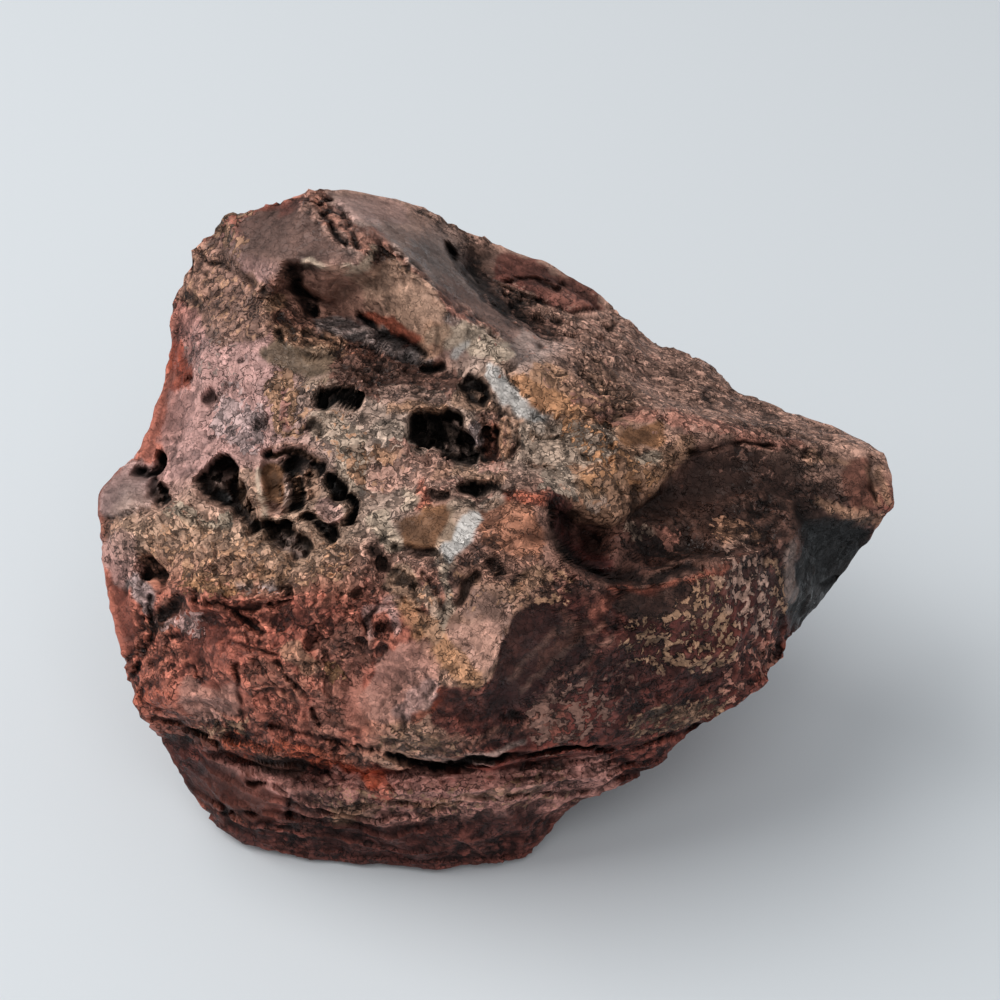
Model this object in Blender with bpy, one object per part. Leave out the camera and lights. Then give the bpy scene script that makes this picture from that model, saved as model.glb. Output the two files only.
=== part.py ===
"""Rough jasper: one natural broken stone, resting on a small flat spot.

The stone is one solid.  Its corners are marked on a drawing of the show side, seen from the
front and from above, each with its depth toward the eye.  Ridges and valleys join them, and
the triangles between make a coarse closed body.  Its long edges are split until the
triangles are small, and the pits and the broken relief are then cut into the points.

The frame is +Z up, with the origin under the middle of the stone's box, on the resting spot.
"""

import math

import bmesh
import bpy
import numpy as np
from mathutils.geometry import delaunay_2d_cdt

# Driving dimensions, in millimetres unless a name says otherwise.
STONE_WIDTH = 61.5  # from the left bulge to the right tip
EYE_HEIGHT_DEG = 38.0  # how far above level the drawing's eye stands
EYE_DISTANCE = 181.6  # from the eye to the drawing's plane
DRAWING_SCALE = 13.0  # drawing units in a millimetre
DRAWING_MIDDLE = 500.0  # across and down, in drawing units
FLOOR = -24.4  # height of the resting spot under the drawing's middle

SHOW_EDGE = 1.9  # longest edge of the finished triangles on the show side
PIT_EDGE = 1.2  # the same round the pits
FAR_EDGE = 3.2  # the same on the far side
PIT_MARGIN = 0.6  # how far past a pit's edge its small triangles go, as a share of its width
MOST_SPLITS = 6  # rounds of splitting
SOFTEN = 0.25  # how far each point moves toward the middle of its neighbours
SHARP_EDGE_DEG = 22.0  # edges that turn more than this are drawn sharp
SEED = 7

MILLIMETRE = 0.001

# Corners on the outline of the show side, clockwise from the peak: across, down, toward.
SKYLINE = {
    "peak": (322, 187, -3),
    "sky1": (352, 188, -4.5),
    "sky2": (400, 198, -6.5),
    "sky3": (432, 212, -8),
    "sky4": (466, 231, -9),
    "sky5": (500, 248, -10),
    "sky6": (548, 263, -10.5),
    "sky7": (590, 288, -10.5),
    "sky8": (622, 316, -10.5),
    "sky9": (656, 346, -10.5),
    "sky10": (702, 360, -10),
    "sky11": (738, 392, -9),
    "sky12": (776, 411, -8.5),
    "sky13": (822, 421, -7.5),
    "sky14": (862, 438, -5.5),
    "sky15": (882, 456, -3),
    "tip": (895, 498, -1),
    "tip2": (888, 520, -2.5),
    "jet1": (858, 556, -5),
    "jet2": (828, 597, -6),
    "jet3": (803, 625, -4),
    "right1": (789, 640, 0),
    "right2": (788, 656, 2),
    "right3": (766, 680, 3),
    "right4": (735, 708, 3),
    "right5": (690, 735, 2),
    "foot1": (655, 768, 0),
    "foot2": (618, 789, -1.5),
    "foot3": (582, 801, -2.5),
    "foot4": (558, 823, -3.5),
    "foot5": (527, 854, -3),
    "foot6": (500, 862, -2.6),
    "foot7": (440, 870, -2.2),
    "foot8": (380, 866, -2.6),
    "foot9": (300, 862, -3),
    "foot10": (245, 846, -4),
    "foot11": (212, 817, -5),
    "foot12": (190, 788, -5),
    "foot13": (178, 765, -4),
    "foot14": (163, 738, -2.5),
    "left1": (150, 722, 1),
    "left2": (132, 705, 2),
    "left3": (126, 675, 2),
    "left4": (112, 620, 1),
    "left5": (98, 552, 0),
    "left6": (101, 522, -1),
    "left7": (104, 496, -2),
    "left8": (117, 479, -2.5),
    "left9": (140, 465, -4.5),
    "left10": (152, 430, -5.5),
    "left11": (160, 390, -6.5),
    "left12": (168, 345, -7.5),
    "left13": (170, 302, -8.5),
    "left14": (188, 257, -8.5),
    "left15": (205, 238, -8.5),
    "left16": (236, 217, -7),
    "left17": (280, 197, -5),
}

# Corners inside the outline, region by region: across, down, toward.
CORNERS = {
    # The brown dome under the peak, and the lip of the ledge below it.
    "dome_left": (238, 248, -3.5),
    "dome_middle": (300, 225, -1.5),
    "lip_left": (287, 262, 0.6),
    "lip_middle": (322, 266, 2),
    "lip_right": (358, 264, 2.4),
    "lip_top": (378, 245, 1.4),
    # The grey scar that falls from the skyline to a sharp ridge.
    "scar1": (345, 205, -1.5),
    "scar2": (372, 228, 0.8),
    "scar3": (402, 252, 2),
    "scar4": (422, 278, 2.6),
    "scar5": (450, 308, 3.4),
    "scar6": (485, 335, 3.8),
    "scar7": (520, 362, 4.6),
    "scar_edge1": (450, 244, -6.5),
    "scar_edge2": (478, 285, -3.8),
    "scar_edge3": (510, 318, -1.2),
    "scar_edge4": (545, 352, 2),
    "gully1": (470, 262, -8),
    "gully2": (505, 300, -5.5),
    "gully3": (540, 332, -2.6),
    # The deep hollow under the ledge, and its lower sill.
    "hollow1": (294, 284, -4),
    "hollow2": (328, 306, -4.4),
    "hollow3": (368, 325, -2.6),
    "hollow4": (404, 349, -0.6),
    "hollow5": (429, 367, 1.6),
    "wall1": (384, 282, 0),
    "wall2": (418, 318, 1.6),
    "wall3": (345, 288, -2.6),
    "sill1": (262, 300, -0.5),
    "sill2": (278, 328, 0.2),
    "sill3": (300, 352, 1.5),
    "sill4": (340, 354, 2),
    "sill5": (378, 350, 1.2),
    "sill6": (425, 378, 3.5),
    # The pink cheek on the left.
    "cheek1": (222, 255, -6),
    "cheek2": (250, 285, -2.5),
    "cheek3": (266, 345, 1),
    "cheek4": (274, 400, 3.2),
    "cheek5": (262, 445, 4.2),
    "cheek6": (205, 468, 2),
    "cheek7": (166, 478, -0.8),
    "cheek8": (210, 350, -1.5),
    "cheek9": (195, 420, -1.2),
    # The pale porous band across the middle, and the plateau in front of it.
    "band1": (310, 385, 4),
    "band2": (362, 425, 6.2),
    "band3": (352, 475, 8),
    "band4": (400, 400, 4.5),
    "band5": (470, 385, 4.2),
    "band6": (420, 470, 9),
    "band7": (480, 470, 9.6),
    "band8": (540, 482, 9.6),
    "band9": (380, 520, 11.3),
    "plateau1": (430, 508, 12),
    "plateau2": (540, 500, 12.2),
    "plateau3": (546, 552, 13.6),
    "plateau4": (455, 562, 14),
    "plateau5": (500, 545, 13.6),
    # The nose, the blunt ridge that comes nearest.
    "nose_top": (470, 575, 14.2),
    "nose_right": (517, 605, 15.8),
    "nose_edge": (505, 640, 15.8),
    "nose_low": (478, 682, 15.3),
    "nose_left": (438, 690, 13.8),
    "nose_middle": (440, 640, 14.6),
    "nose_foot": (405, 735, 11.8),
    "nose_lip": (392, 762, 9),
    # The crusted strip between the band and the dark slab.
    "crust1": (505, 370, 4),
    "crust2": (530, 415, 6),
    "crust3": (560, 395, 4.6),
    "crust4": (600, 400, 4),
    "crust5": (620, 418, 4.6),
    "crust6": (615, 470, 7.6),
    "crust7": (580, 495, 9.4),
    "crust8": (645, 473, 6.2),
    # The dark slab along the upper right, and its light lower edge.
    "slab1": (560, 300, -6.2),
    "slab2": (590, 340, -4),
    "slab3": (640, 385, -2),
    "slab4": (700, 400, -3),
    "slab5": (790, 428, -4),
    "slab_edge1": (565, 365, 2.8),
    "slab_edge2": (650, 412, 3),
    "slab_edge3": (700, 425, 2.5),
    "slab_edge4": (745, 434, 1.4),
    "slab_edge5": (800, 443, 0),
    "slab_edge6": (862, 453, -1.8),
    # The long dark scoop under the slab, and its rim.
    "scoop1": (700, 447, 2.6),
    "scoop2": (742, 440, 1.6),
    "scoop3": (650, 500, 3.6),
    "scoop4": (720, 490, 2),
    "scoop5": (790, 490, 0.6),
    "scoop6": (620, 522, 6.2),
    "scoop7": (690, 527, 4.6),
    "scoop8": (750, 530, 3.4),
    "scoop9": (590, 545, 6.5),
    "scoop10": (650, 556, 6.4),
    "scoop11": (700, 552, 5.6),
    "scoop12": (565, 520, 8),
    "rim1": (549, 505, 12),
    "rim2": (553, 540, 12.6),
    "rim3": (576, 567, 13.2),
    "rim4": (610, 582, 13.6),
    "rim5": (650, 584, 12.6),
    "rim6": (700, 576, 10.6),
    "rim7": (742, 556, 8),
    "rim8": (790, 536, 4.2),
    # The blunt right end and the glassy black facet under it.
    "end1": (862, 500, -0.4),
    "end2": (868, 516, -0.8),
    "jet4": (806, 522, 1.4),
    "jet5": (788, 600, 3.6),
    # The dark face on the front right.
    "front1": (566, 600, 15),
    "front2": (618, 602, 13.6),
    "front3": (600, 645, 13.4),
    "front4": (700, 610, 10.3),
    "front5": (770, 590, 5.6),
    "front6": (700, 672, 7.6),
    "front7": (610, 710, 9.8),
    "front8": (500, 735, 10.2),
    "crack1": (480, 760, 9.6),
    "crack2": (560, 746, 8.6),
    "crack3": (640, 740, 5.4),
    # The bumpy red face on the front left, under a low brow.
    "brow1": (142, 592, 4),
    "brow2": (192, 600, 8.6),
    "brow3": (250, 602, 11.8),
    "brow4": (300, 597, 13.2),
    "brow5": (360, 600, 14.4),
    "brow6": (412, 618, 15),
    "bed1": (130, 535, 2.6),
    "bed2": (190, 525, 5.6),
    "bed3": (250, 540, 8),
    "bed4": (300, 562, 10.6),
    "lobe": (128, 492, 0.4),
    "face1": (162, 640, 5.4),
    "face2": (152, 692, 5),
    "face3": (235, 660, 10.6),
    "under1": (200, 618, 7.4),
    "under2": (255, 622, 10.2),
    "under3": (305, 620, 12.2),
    "face4": (232, 702, 8.6),
    "face5": (298, 655, 12.8),
    "face6": (312, 722, 9.6),
    "face7": (345, 690, 11),
    "face8": (352, 740, 9.4),
    "face9": (400, 680, 12.6),
    # The ledge over the bedding crack, and the lower slab that steps in below it.
    "ledge1": (215, 738, 4.6),
    "ledge2": (300, 748, 7),
    "ledge3": (350, 758, 8),
    "step1": (205, 756, 0.6),
    "step2": (270, 768, 2),
    "step3": (340, 772, 3.6),
    "step4": (400, 772, 5),
    "step5": (480, 773, 6),
    "step6": (560, 763, 4.6),
    "step7": (620, 761, 2),
    "shelf1": (250, 776, 2.6),
    "shelf2": (290, 790, 3.6),
    "shelf3": (350, 790, 5),
    "shelf4": (410, 793, 6.2),
    "shelf5": (480, 791, 7),
    "shelf6": (550, 783, 5.6),
    "shelf7": (608, 777, 3),
    "base1": (245, 812, 0.2),
    "base2": (320, 825, 0.6),
    "base3": (400, 830, 2.2),
    "base4": (470, 825, 2.4),
    "base5": (520, 812, 2),
}

# Corners of the far side, in the stone's own directions: right, back, and up from the floor.
FAR_SIDE = {
    "floor1": (1.5, -9, -0.5),
    "floor2": (4.5, -1, -0.5),
    "floor3": (2, 6.5, -0.5),
    "floor4": (-7, 8.5, -0.5),
    "floor5": (-15, 5.5, -0.5),
    "floor6": (-18, -3, -0.5),
    "floor7": (-16, -10, -0.4),
    "low1": (13, -3, 5.5),
    "low2": (11.5, 8, 5),
    "low3": (4, 14, 5),
    "low4": (-8, 16, 5.5),
    "low5": (-19, 12, 5.5),
    "low6": (-24, 3, 5.5),
    "low7": (-25.5, -5, 8),
    "low8": (-21.5, -9, 2),
    "mid0": (20.3, -5.5, 13),
    "mid1": (21, 3, 13),
    "mid2": (20, 9, 15),
    "mid3": (13, 14.5, 16),
    "mid4": (3, 19, 17),
    "mid5": (-8, 21, 18),
    "mid6": (-19, 19, 18),
    "mid7": (-26, 12.5, 17),
    "mid8": (-29, 3, 15),
    "high1": (26.5, 6, 20),
    "high2": (17, 13.5, 22.5),
    "high3": (7, 19, 25),
    "high4": (-3, 21.3, 28),
    "high5": (-13, 20.5, 31),
    "high6": (-22, 19, 27),
    "high7": (-26.5, 14, 23),
}

# Ridges and valleys of the show side: each line runs through the corners that it names.
LINES = (
    "peak scar1 scar2 scar3 scar4 scar5 scar6 scar7",
    "sky3 scar_edge1 scar_edge2 scar_edge3 scar_edge4",
    "sky4 gully1 gully2 gully3 scar_edge4",
    "dome_left lip_left lip_middle lip_right lip_top scar2",
    "lip_left hollow1 hollow2 hollow3 hollow4 hollow5",
    "lip_left sill1 sill2 sill3 sill4 sill5 sill6 hollow5",
    "left15 cheek1 cheek2 cheek3 cheek4 cheek5 cheek6 cheek7 left9",
    "scar_edge4 slab_edge1 crust3 crust4 crust5 slab_edge2 slab_edge3 slab_edge4 slab_edge5",
    "slab_edge5 slab_edge6 sky15",
    "crust8 scoop1 scoop2 slab_edge4",
    "plateau2 rim1 rim2 rim3 rim4 rim5 rim6 rim7 rim8",
    "scoop12 scoop6 scoop7 scoop8 rim8",
    "nose_top nose_right nose_edge nose_low nose_left nose_foot nose_lip",
    "nose_right front1 rim4",
    "left5 brow1 brow2 brow3 brow4 brow5 brow6 nose_middle",
    "left1 ledge1 ledge2 ledge3 nose_lip crack1 crack2 crack3 right5",
    "foot14 step1 step2 step3 step4 step5 step6 step7 foot1",
    "shelf1 shelf2 shelf3 shelf4 shelf5 shelf6 shelf7 foot2",
    "rim8 jet5 right1",
    "rim8 jet4 end2 tip2",
    "scar7 crust1 crust2 crust7 rim1",
)

# How rough each region is: the height of its broken relief, by the corners' names.
RELIEF = {
    "sky": 0.3,
    "peak": 0.2,
    "tip": 0.6,
    "jet": 0.3,
    "right": 0.5,
    "foot": 0.4,
    "left": 0.5,
    "dome": 0.15,
    "lip": 0.3,
    "scar": 0.1,
    "gully": 0.6,
    "hollow": 0.3,
    "wall": 0.2,
    "sill": 0.5,
    "cheek": 0.35,
    "band": 1.0,
    "plateau": 0.8,
    "nose": 0.4,
    "crust": 1.0,
    "slab": 0.45,
    "scoop": 0.4,
    "rim": 0.6,
    "end": 0.6,
    "front": 0.5,
    "crack": 0.4,
    "brow": 1.2,
    "bed": 1.1,
    "lobe": 0.3,
    "under": 0.8,
    "face": 0.8,
    "ledge": 0.8,
    "step": 0.4,
    "shelf": 0.8,
    "base": 0.6,
    "floor": 0.6,
    "low": 1.4,
    "mid": 1.6,
    "high": 1.4,
}
CHIP_SIZES = (7.0, 3.4)  # across the larger and the smaller chips
CHIP_HEIGHTS = (2.0, 1.1)  # of the ridges between them, where the relief is 1
CHIP_MIDDLE = 0.3  # the usual height of a chipped surface, as a share of its ridges

# Pits in the porous band: across, down, half width, half height, turn in degrees, depth.
PITS = {
    "pit_upper": (335, 398, 20, 11, -10, 2.6),
    "pit_great": (440, 432, 36, 20, 8, 4.5),
    "pit_great_run": (492, 424, 24, 20, 60, 2.6),
    "pit_cave": (216, 482, 22, 20, 30, 5.0),
    "pit_cave_run": (246, 517, 15, 22, -35, 3.6),
    "pit_ring": (325, 500, 28, 30, 0, 3.4),
    "pit_ring_left": (285, 480, 18, 30, 10, 3.0),
    "pit_lower": (285, 542, 26, 15, 25, 2.6),
}


def view_axes():
    """Rows: the drawing's right, up and toward-the-eye directions in the stone's frame."""
    eye = math.radians(EYE_HEIGHT_DEG)
    return np.array(
        (
            (1.0, 0.0, 0.0),
            (0.0, math.sin(eye), math.cos(eye)),
            (0.0, -math.cos(eye), math.sin(eye)),
        )
    )


def from_drawing(marks):
    """Millimetres right, up and toward, from marks across, down and toward.

    A mark nearer the eye looks larger, so its offset shrinks by 1 - toward / EYE_DISTANCE.
    """
    marks = np.asarray(marks, float)
    shrink = (1.0 - marks[:, 2] / EYE_DISTANCE) / DRAWING_SCALE
    right = (marks[:, 0] - DRAWING_MIDDLE) * shrink
    up = (DRAWING_MIDDLE - marks[:, 1]) * shrink
    return np.column_stack((right, up, marks[:, 2]))


def to_drawing(points):
    """Across and down on the drawing, of points right, up and toward."""
    grow = DRAWING_SCALE / (1.0 - points[:, 2] / EYE_DISTANCE)
    across = DRAWING_MIDDLE + points[:, 0] * grow
    down = DRAWING_MIDDLE - points[:, 1] * grow
    return np.column_stack((across, down))


def sheet_triangles(outline, inside, edges):
    """Triangles that fill the outline through the inside points, keeping the given edges.

    outline and inside are rows of right, up, toward; the triangles index them in that order.
    """
    points = np.vstack((outline, inside))
    flat = [tuple(point[:2]) for point in points]
    loop = list(range(len(outline)))
    verts, _, faces, _, _, _ = delaunay_2d_cdt(flat, edges, [loop], 1, 1e-5)
    if len(verts) != len(points):
        raise ValueError("two ridge lines cross without sharing a corner")
    return np.array(faces, int)


def coarse_body():
    """The closed body through all the corners: its points and its triangles, facing out."""
    names = list(SKYLINE) + list(CORNERS)
    place = {name: index for index, name in enumerate(names)}
    outline = from_drawing(list(SKYLINE.values()))
    inside = from_drawing(list(CORNERS.values()))
    far = np.array(list(FAR_SIDE.values()), float) + (0.0, 0.0, FLOOR)
    far = far @ view_axes().T
    edges = []
    for line in LINES:
        chain = [place[name] for name in line.split()]
        edges += list(zip(chain[:-1], chain[1:]))
    show = sheet_triangles(outline, inside, edges)
    back = sheet_triangles(outline, far, [])
    back = np.where(back >= len(outline), back + len(inside), back)
    points = np.vstack((outline, inside, far))
    region = [name.rstrip("0123456789").split("_")[0] for name in names + list(FAR_SIDE)]
    relief = np.array([RELIEF[name] for name in region])
    return points, np.vstack((facing(points, show, 1.0), facing(points, back, -1.0))), relief


def facing(points, triangles, side):
    """The triangles wound so that they face the eye (side 1) or away from it (side -1)."""
    a, b, c = (points[triangles[:, corner], :2] for corner in range(3))
    turn = (b - a)[:, 0] * (c - a)[:, 1] - (b - a)[:, 1] * (c - a)[:, 0]
    return np.where((turn * side > 0.0)[:, None], triangles, triangles[:, ::-1])


def longest_edge(middle, turned_away):
    """How long an edge may stay: shortest round the pits, longest on the far side."""
    if turned_away:
        return FAR_EDGE
    if pit_depth(to_drawing(np.array([middle])), PIT_MARGIN)[0] > 0.0:
        return PIT_EDGE
    return SHOW_EDGE


def refine(points, triangles, relief):
    """Splits edges at their middles until none is longer than its region allows.

    Only the long edges are split, so the ridge lines stay edges.  The relief is carried to
    the new points by the mesh itself, as a number on each vertex.
    """
    body = bmesh.new()
    height = body.verts.layers.float.new("relief")
    corners = [body.verts.new(point) for point in points]
    for corner, amount in zip(corners, relief):
        corner[height] = amount
    for triangle in triangles:
        body.faces.new([corners[corner] for corner in triangle])
    for _ in range(MOST_SPLITS):
        body.normal_update()
        long_edges = []
        for edge in body.edges:
            middle = (edge.verts[0].co + edge.verts[1].co) / 2.0
            turned_away = all(face.normal.z < 0.0 for face in edge.link_faces)
            if edge.calc_length() > longest_edge(middle, turned_away):
                long_edges.append(edge)
        if not long_edges:
            break
        bmesh.ops.subdivide_edges(body, edges=long_edges, cuts=1)
        bmesh.ops.triangulate(body, faces=body.faces)
    bmesh.ops.smooth_vert(
        body, verts=body.verts, factor=SOFTEN, use_axis_x=True, use_axis_y=True, use_axis_z=True
    )
    body.verts.index_update()
    points = np.array([vert.co for vert in body.verts])
    triangles = np.array([[vert.index for vert in face.verts] for face in body.faces])
    relief = np.array([vert[height] for vert in body.verts])
    body.free()
    return points, triangles, relief


def vertex_normals(points, triangles):
    """Unit normals, each the sum of its triangles' area vectors."""
    a, b, c = (points[triangles[:, corner]] for corner in range(3))
    area = np.cross(b - a, c - a)
    normals = np.zeros_like(points)
    for corner in range(3):
        np.add.at(normals, triangles[:, corner], area)
    return normals / np.linalg.norm(normals, axis=1, keepdims=True)


def cell_randoms(cells, seed, count):
    """count even random numbers for each whole-number cell, the same each run."""
    mixed = (cells * (73856093, 19349663, 83492791)).sum(axis=-1) + seed * 2654435761
    mixed = mixed.astype(np.int64)
    numbers = []
    for turn in range(count):
        mixed = (mixed ^ (mixed >> 13)) * 1274126177 + turn * 97
        mixed &= 0x7FFFFFFF
        numbers.append((mixed & 0xFFFFF) / float(0x100000))
    return np.stack(numbers, axis=-1)


def chips(points, size, seed):
    """Height of a knapped surface: the square of the distance to the nearest seed point.

    It is 0 in the middle of a chip and rises to sharp ridges between chips, about 1 at most.
    """
    scaled = points / size
    cell = np.floor(scaled).astype(np.int64)
    nearest = np.full(len(points), 9.0)
    for offset in np.ndindex(3, 3, 3):
        near = cell + (np.array(offset) - 1)
        gap = ((near + cell_randoms(near, seed, 3) - scaled) ** 2).sum(axis=1)
        nearest = np.minimum(nearest, gap)
    return nearest


def pit_depth(drawn, margin=0.25):
    """How deep each drawn point lies in the pits: full depth inside, none past the margin."""
    depth = np.zeros(len(drawn))
    for across, down, half_wide, half_high, turn, deepest in PITS.values():
        angle = math.radians(turn)
        offset = drawn - (across, down)
        along = (offset[:, 0] * math.cos(angle) - offset[:, 1] * math.sin(angle)) / half_wide
        over = (offset[:, 0] * math.sin(angle) + offset[:, 1] * math.cos(angle)) / half_high
        inside = np.clip(1.0 + margin - np.hypot(along, over), 0.0, 0.5) * 2.0
        depth = np.maximum(depth, deepest * inside)
    return depth


def stone_points():
    """The stone's surface as millimetres in its own frame, and its triangles."""
    view, triangles, relief = refine(*coarse_body())
    normals = vertex_normals(view, triangles)
    height = np.zeros(len(view))
    for turn, (size, most) in enumerate(zip(CHIP_SIZES, CHIP_HEIGHTS)):
        height += most * (chips(view, size, SEED + turn) - CHIP_MIDDLE)
    view = view + normals * (height * relief)[:, None]
    shown = np.clip(normals[:, 2] * 4.0, 0.0, 1.0)
    view[:, 2] -= pit_depth(to_drawing(view)) * shown
    points = view @ view_axes()
    points[:, 2] = np.maximum(points[:, 2], FLOOR)
    return points, triangles


def set_on_floor(points):
    """Metres, as wide as STONE_WIDTH, with the origin under the middle of the box."""
    low, high = points.min(axis=0), points.max(axis=0)
    middle = (low + high) / 2.0
    middle[2] = low[2]
    return (points - middle) * (STONE_WIDTH / (high[0] - low[0])) * MILLIMETRE


def jasper_material():
    """Dull dark red stone."""
    material = bpy.data.materials.new("jasper")
    material.use_nodes = True
    shader = material.node_tree.nodes["Principled BSDF"]
    shader.inputs["Base Color"].default_value = (0.14, 0.045, 0.035, 1.0)
    shader.inputs["Roughness"].default_value = 0.6
    shader.inputs["Metallic"].default_value = 0.0
    return material


def build_stone():
    """The one object: the stone."""
    points, triangles = stone_points()
    mesh = bpy.data.meshes.new("stone")
    mesh.from_pydata(set_on_floor(points).tolist(), [], triangles.tolist())
    mesh.materials.append(jasper_material())
    mesh.shade_smooth()
    mesh.set_sharp_from_angle(angle=math.radians(SHARP_EDGE_DEG))
    stone = bpy.data.objects.new("stone", mesh)
    bpy.context.scene.collection.objects.link(stone)
    return stone


def clear_scene():
    """Removes whatever the file starts with."""
    for old in list(bpy.data.objects):
        bpy.data.objects.remove(old, do_unlink=True)


clear_scene()
build_stone()
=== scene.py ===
# %% [markdown]
# # Rough jasper
#
# A hand specimen of rough jasper is a broken piece of fine quartz, stained by iron.  It has
# three kinds of surface.  Where a blow took off a flake it is smooth and a little glossy,
# curved like the inside of a shell.  Where it broke along old cracks it is bumpy and dull.
# Where water once moved through it there is a pale porous band, full of pits.
#
# The stone is one closed surface here.  It is made in the order in which a stone gets its
# shape: first the big planes between its ridges, then the chips, then pits and cracks, and
# last the colours.  Everything is measured in millimetres in a view frame: right, up and
# toward the eye of a drawing of the stone's show side.  It is turned upright at the end.

import math

import bpy
import numpy as np
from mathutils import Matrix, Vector
from mathutils.geometry import delaunay_2d_cdt


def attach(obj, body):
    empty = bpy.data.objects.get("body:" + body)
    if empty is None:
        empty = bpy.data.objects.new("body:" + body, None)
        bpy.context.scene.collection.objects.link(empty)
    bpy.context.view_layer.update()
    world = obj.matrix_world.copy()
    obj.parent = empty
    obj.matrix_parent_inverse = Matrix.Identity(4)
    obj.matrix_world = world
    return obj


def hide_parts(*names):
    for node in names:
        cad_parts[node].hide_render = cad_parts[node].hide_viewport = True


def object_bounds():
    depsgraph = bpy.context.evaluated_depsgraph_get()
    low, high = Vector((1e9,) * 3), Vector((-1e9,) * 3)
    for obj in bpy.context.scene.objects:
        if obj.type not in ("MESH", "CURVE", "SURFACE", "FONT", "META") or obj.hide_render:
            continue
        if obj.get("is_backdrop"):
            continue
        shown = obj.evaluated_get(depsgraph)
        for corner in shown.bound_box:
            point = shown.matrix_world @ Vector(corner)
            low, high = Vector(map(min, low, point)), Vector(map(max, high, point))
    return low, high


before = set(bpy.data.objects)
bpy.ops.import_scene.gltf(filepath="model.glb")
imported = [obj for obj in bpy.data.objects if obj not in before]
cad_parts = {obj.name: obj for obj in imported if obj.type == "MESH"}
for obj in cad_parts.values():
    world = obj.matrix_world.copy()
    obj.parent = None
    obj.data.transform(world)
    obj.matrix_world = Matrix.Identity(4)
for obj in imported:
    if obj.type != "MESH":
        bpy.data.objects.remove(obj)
CAD_LOW, CAD_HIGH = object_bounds()
CAD_WIDTH = CAD_HIGH[0] - CAD_LOW[0]
print(f"The packed stone is {CAD_WIDTH * 1000:.1f} mm wide")

# %% [markdown]
# ## The drawing
#
# The stone's corners are marked on a drawing, 13 times life size, made from in front and
# 38 degrees above.  The eye is near enough for perspective: a mark that stands toward the
# eye looks larger, in proportion to how much nearer it is.  The same numbers give the
# camera its place later, so that the drawing and the picture agree.

# %% The drawing's measures
EYE_HEIGHT_DEG = 38.0
EYE_DISTANCE = 181.6  # mm from the eye to the drawing's plane
DRAWING_SCALE = 13.0  # drawing units in a millimetre
DRAWING_MIDDLE = 500.0  # across and down, in drawing units
FLOOR = -24.4  # mm from the drawing's middle down to the resting spot


def view_axes():
    """Rows: right, up and toward-the-eye in the stone's frame, for an eye EYE_HEIGHT_DEG up.

    right = (1, 0, 0), up = (0, sin e, cos e), toward = (0, -cos e, sin e).
    """
    eye = math.radians(EYE_HEIGHT_DEG)
    return np.array(
        (
            (1.0, 0.0, 0.0),
            (0.0, math.sin(eye), math.cos(eye)),
            (0.0, -math.cos(eye), math.sin(eye)),
        )
    )


def from_drawing(marks):
    """Millimetres right, up and toward: offset * (1 - toward / EYE_DISTANCE) / DRAWING_SCALE."""
    marks = np.asarray(marks, float)
    shrink = (1.0 - marks[:, 2] / EYE_DISTANCE) / DRAWING_SCALE
    right = (marks[:, 0] - DRAWING_MIDDLE) * shrink
    up = (DRAWING_MIDDLE - marks[:, 1]) * shrink
    return np.column_stack((right, up, marks[:, 2]))


def to_drawing(points):
    """Across and down on the drawing: the inverse of from_drawing."""
    grow = DRAWING_SCALE / (1.0 - points[:, 2] / EYE_DISTANCE)
    across = DRAWING_MIDDLE + points[:, 0] * grow
    down = DRAWING_MIDDLE - points[:, 1] * grow
    return np.column_stack((across, down))


# %% [markdown]
# ## The corners
#
# A broken stone is read by its corners and by the ridges between them.  Each corner has a
# name made of its region and a number, because its region also sets how rough it is.

# %% Corners on the outline, clockwise from the peak: across, down, toward
SKYLINE = {
    "peak": (322, 187, -3),
    "sky1": (352, 188, -4.5),
    "sky2": (400, 198, -6.5),
    "sky3": (432, 212, -8),
    "sky4": (466, 231, -9),
    "sky5": (500, 248, -10),
    "sky6": (548, 263, -10.5),
    "sky7": (590, 288, -10.5),
    "sky8": (622, 316, -10.5),
    "sky9": (656, 346, -10.5),
    "sky10": (702, 360, -10),
    "sky11": (738, 392, -9),
    "sky12": (776, 411, -8.5),
    "sky13": (822, 421, -7.5),
    "sky14": (862, 438, -5.5),
    "sky15": (882, 456, -3),
    "tip": (895, 498, -1),
    "tip2": (888, 520, -2.5),
    "jet1": (858, 556, -5),
    "jet2": (828, 597, -6),
    "jet3": (803, 625, -4),
    "right1": (789, 640, 0),
    "right2": (788, 656, 2),
    "right3": (766, 680, 3),
    "right4": (735, 708, 3),
    "right5": (690, 735, 2),
    "foot1": (655, 768, 0),
    "foot2": (618, 789, -1.5),
    "foot3": (582, 801, -2.5),
    "foot4": (558, 823, -3.5),
    "foot5": (527, 854, -3),
    "foot6": (500, 862, -2.6),
    "foot7": (440, 870, -2.2),
    "foot8": (380, 866, -2.6),
    "foot9": (300, 862, -3),
    "foot10": (245, 846, -4),
    "foot11": (212, 817, -5),
    "foot12": (190, 788, -5),
    "foot13": (178, 765, -4),
    "foot14": (163, 738, -2.5),
    "left1": (150, 722, 1),
    "left2": (132, 705, 2),
    "left3": (126, 675, 2),
    "left4": (112, 620, 1),
    "left5": (98, 552, 0),
    "left6": (101, 522, -1),
    "left7": (104, 496, -2),
    "left8": (117, 479, -2.5),
    "left9": (140, 465, -4.5),
    "left10": (152, 430, -5.5),
    "left11": (160, 390, -6.5),
    "left12": (168, 345, -7.5),
    "left13": (170, 302, -8.5),
    "left14": (188, 257, -8.5),
    "left15": (205, 238, -8.5),
    "left16": (236, 217, -7),
    "left17": (280, 197, -5),
}

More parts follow.
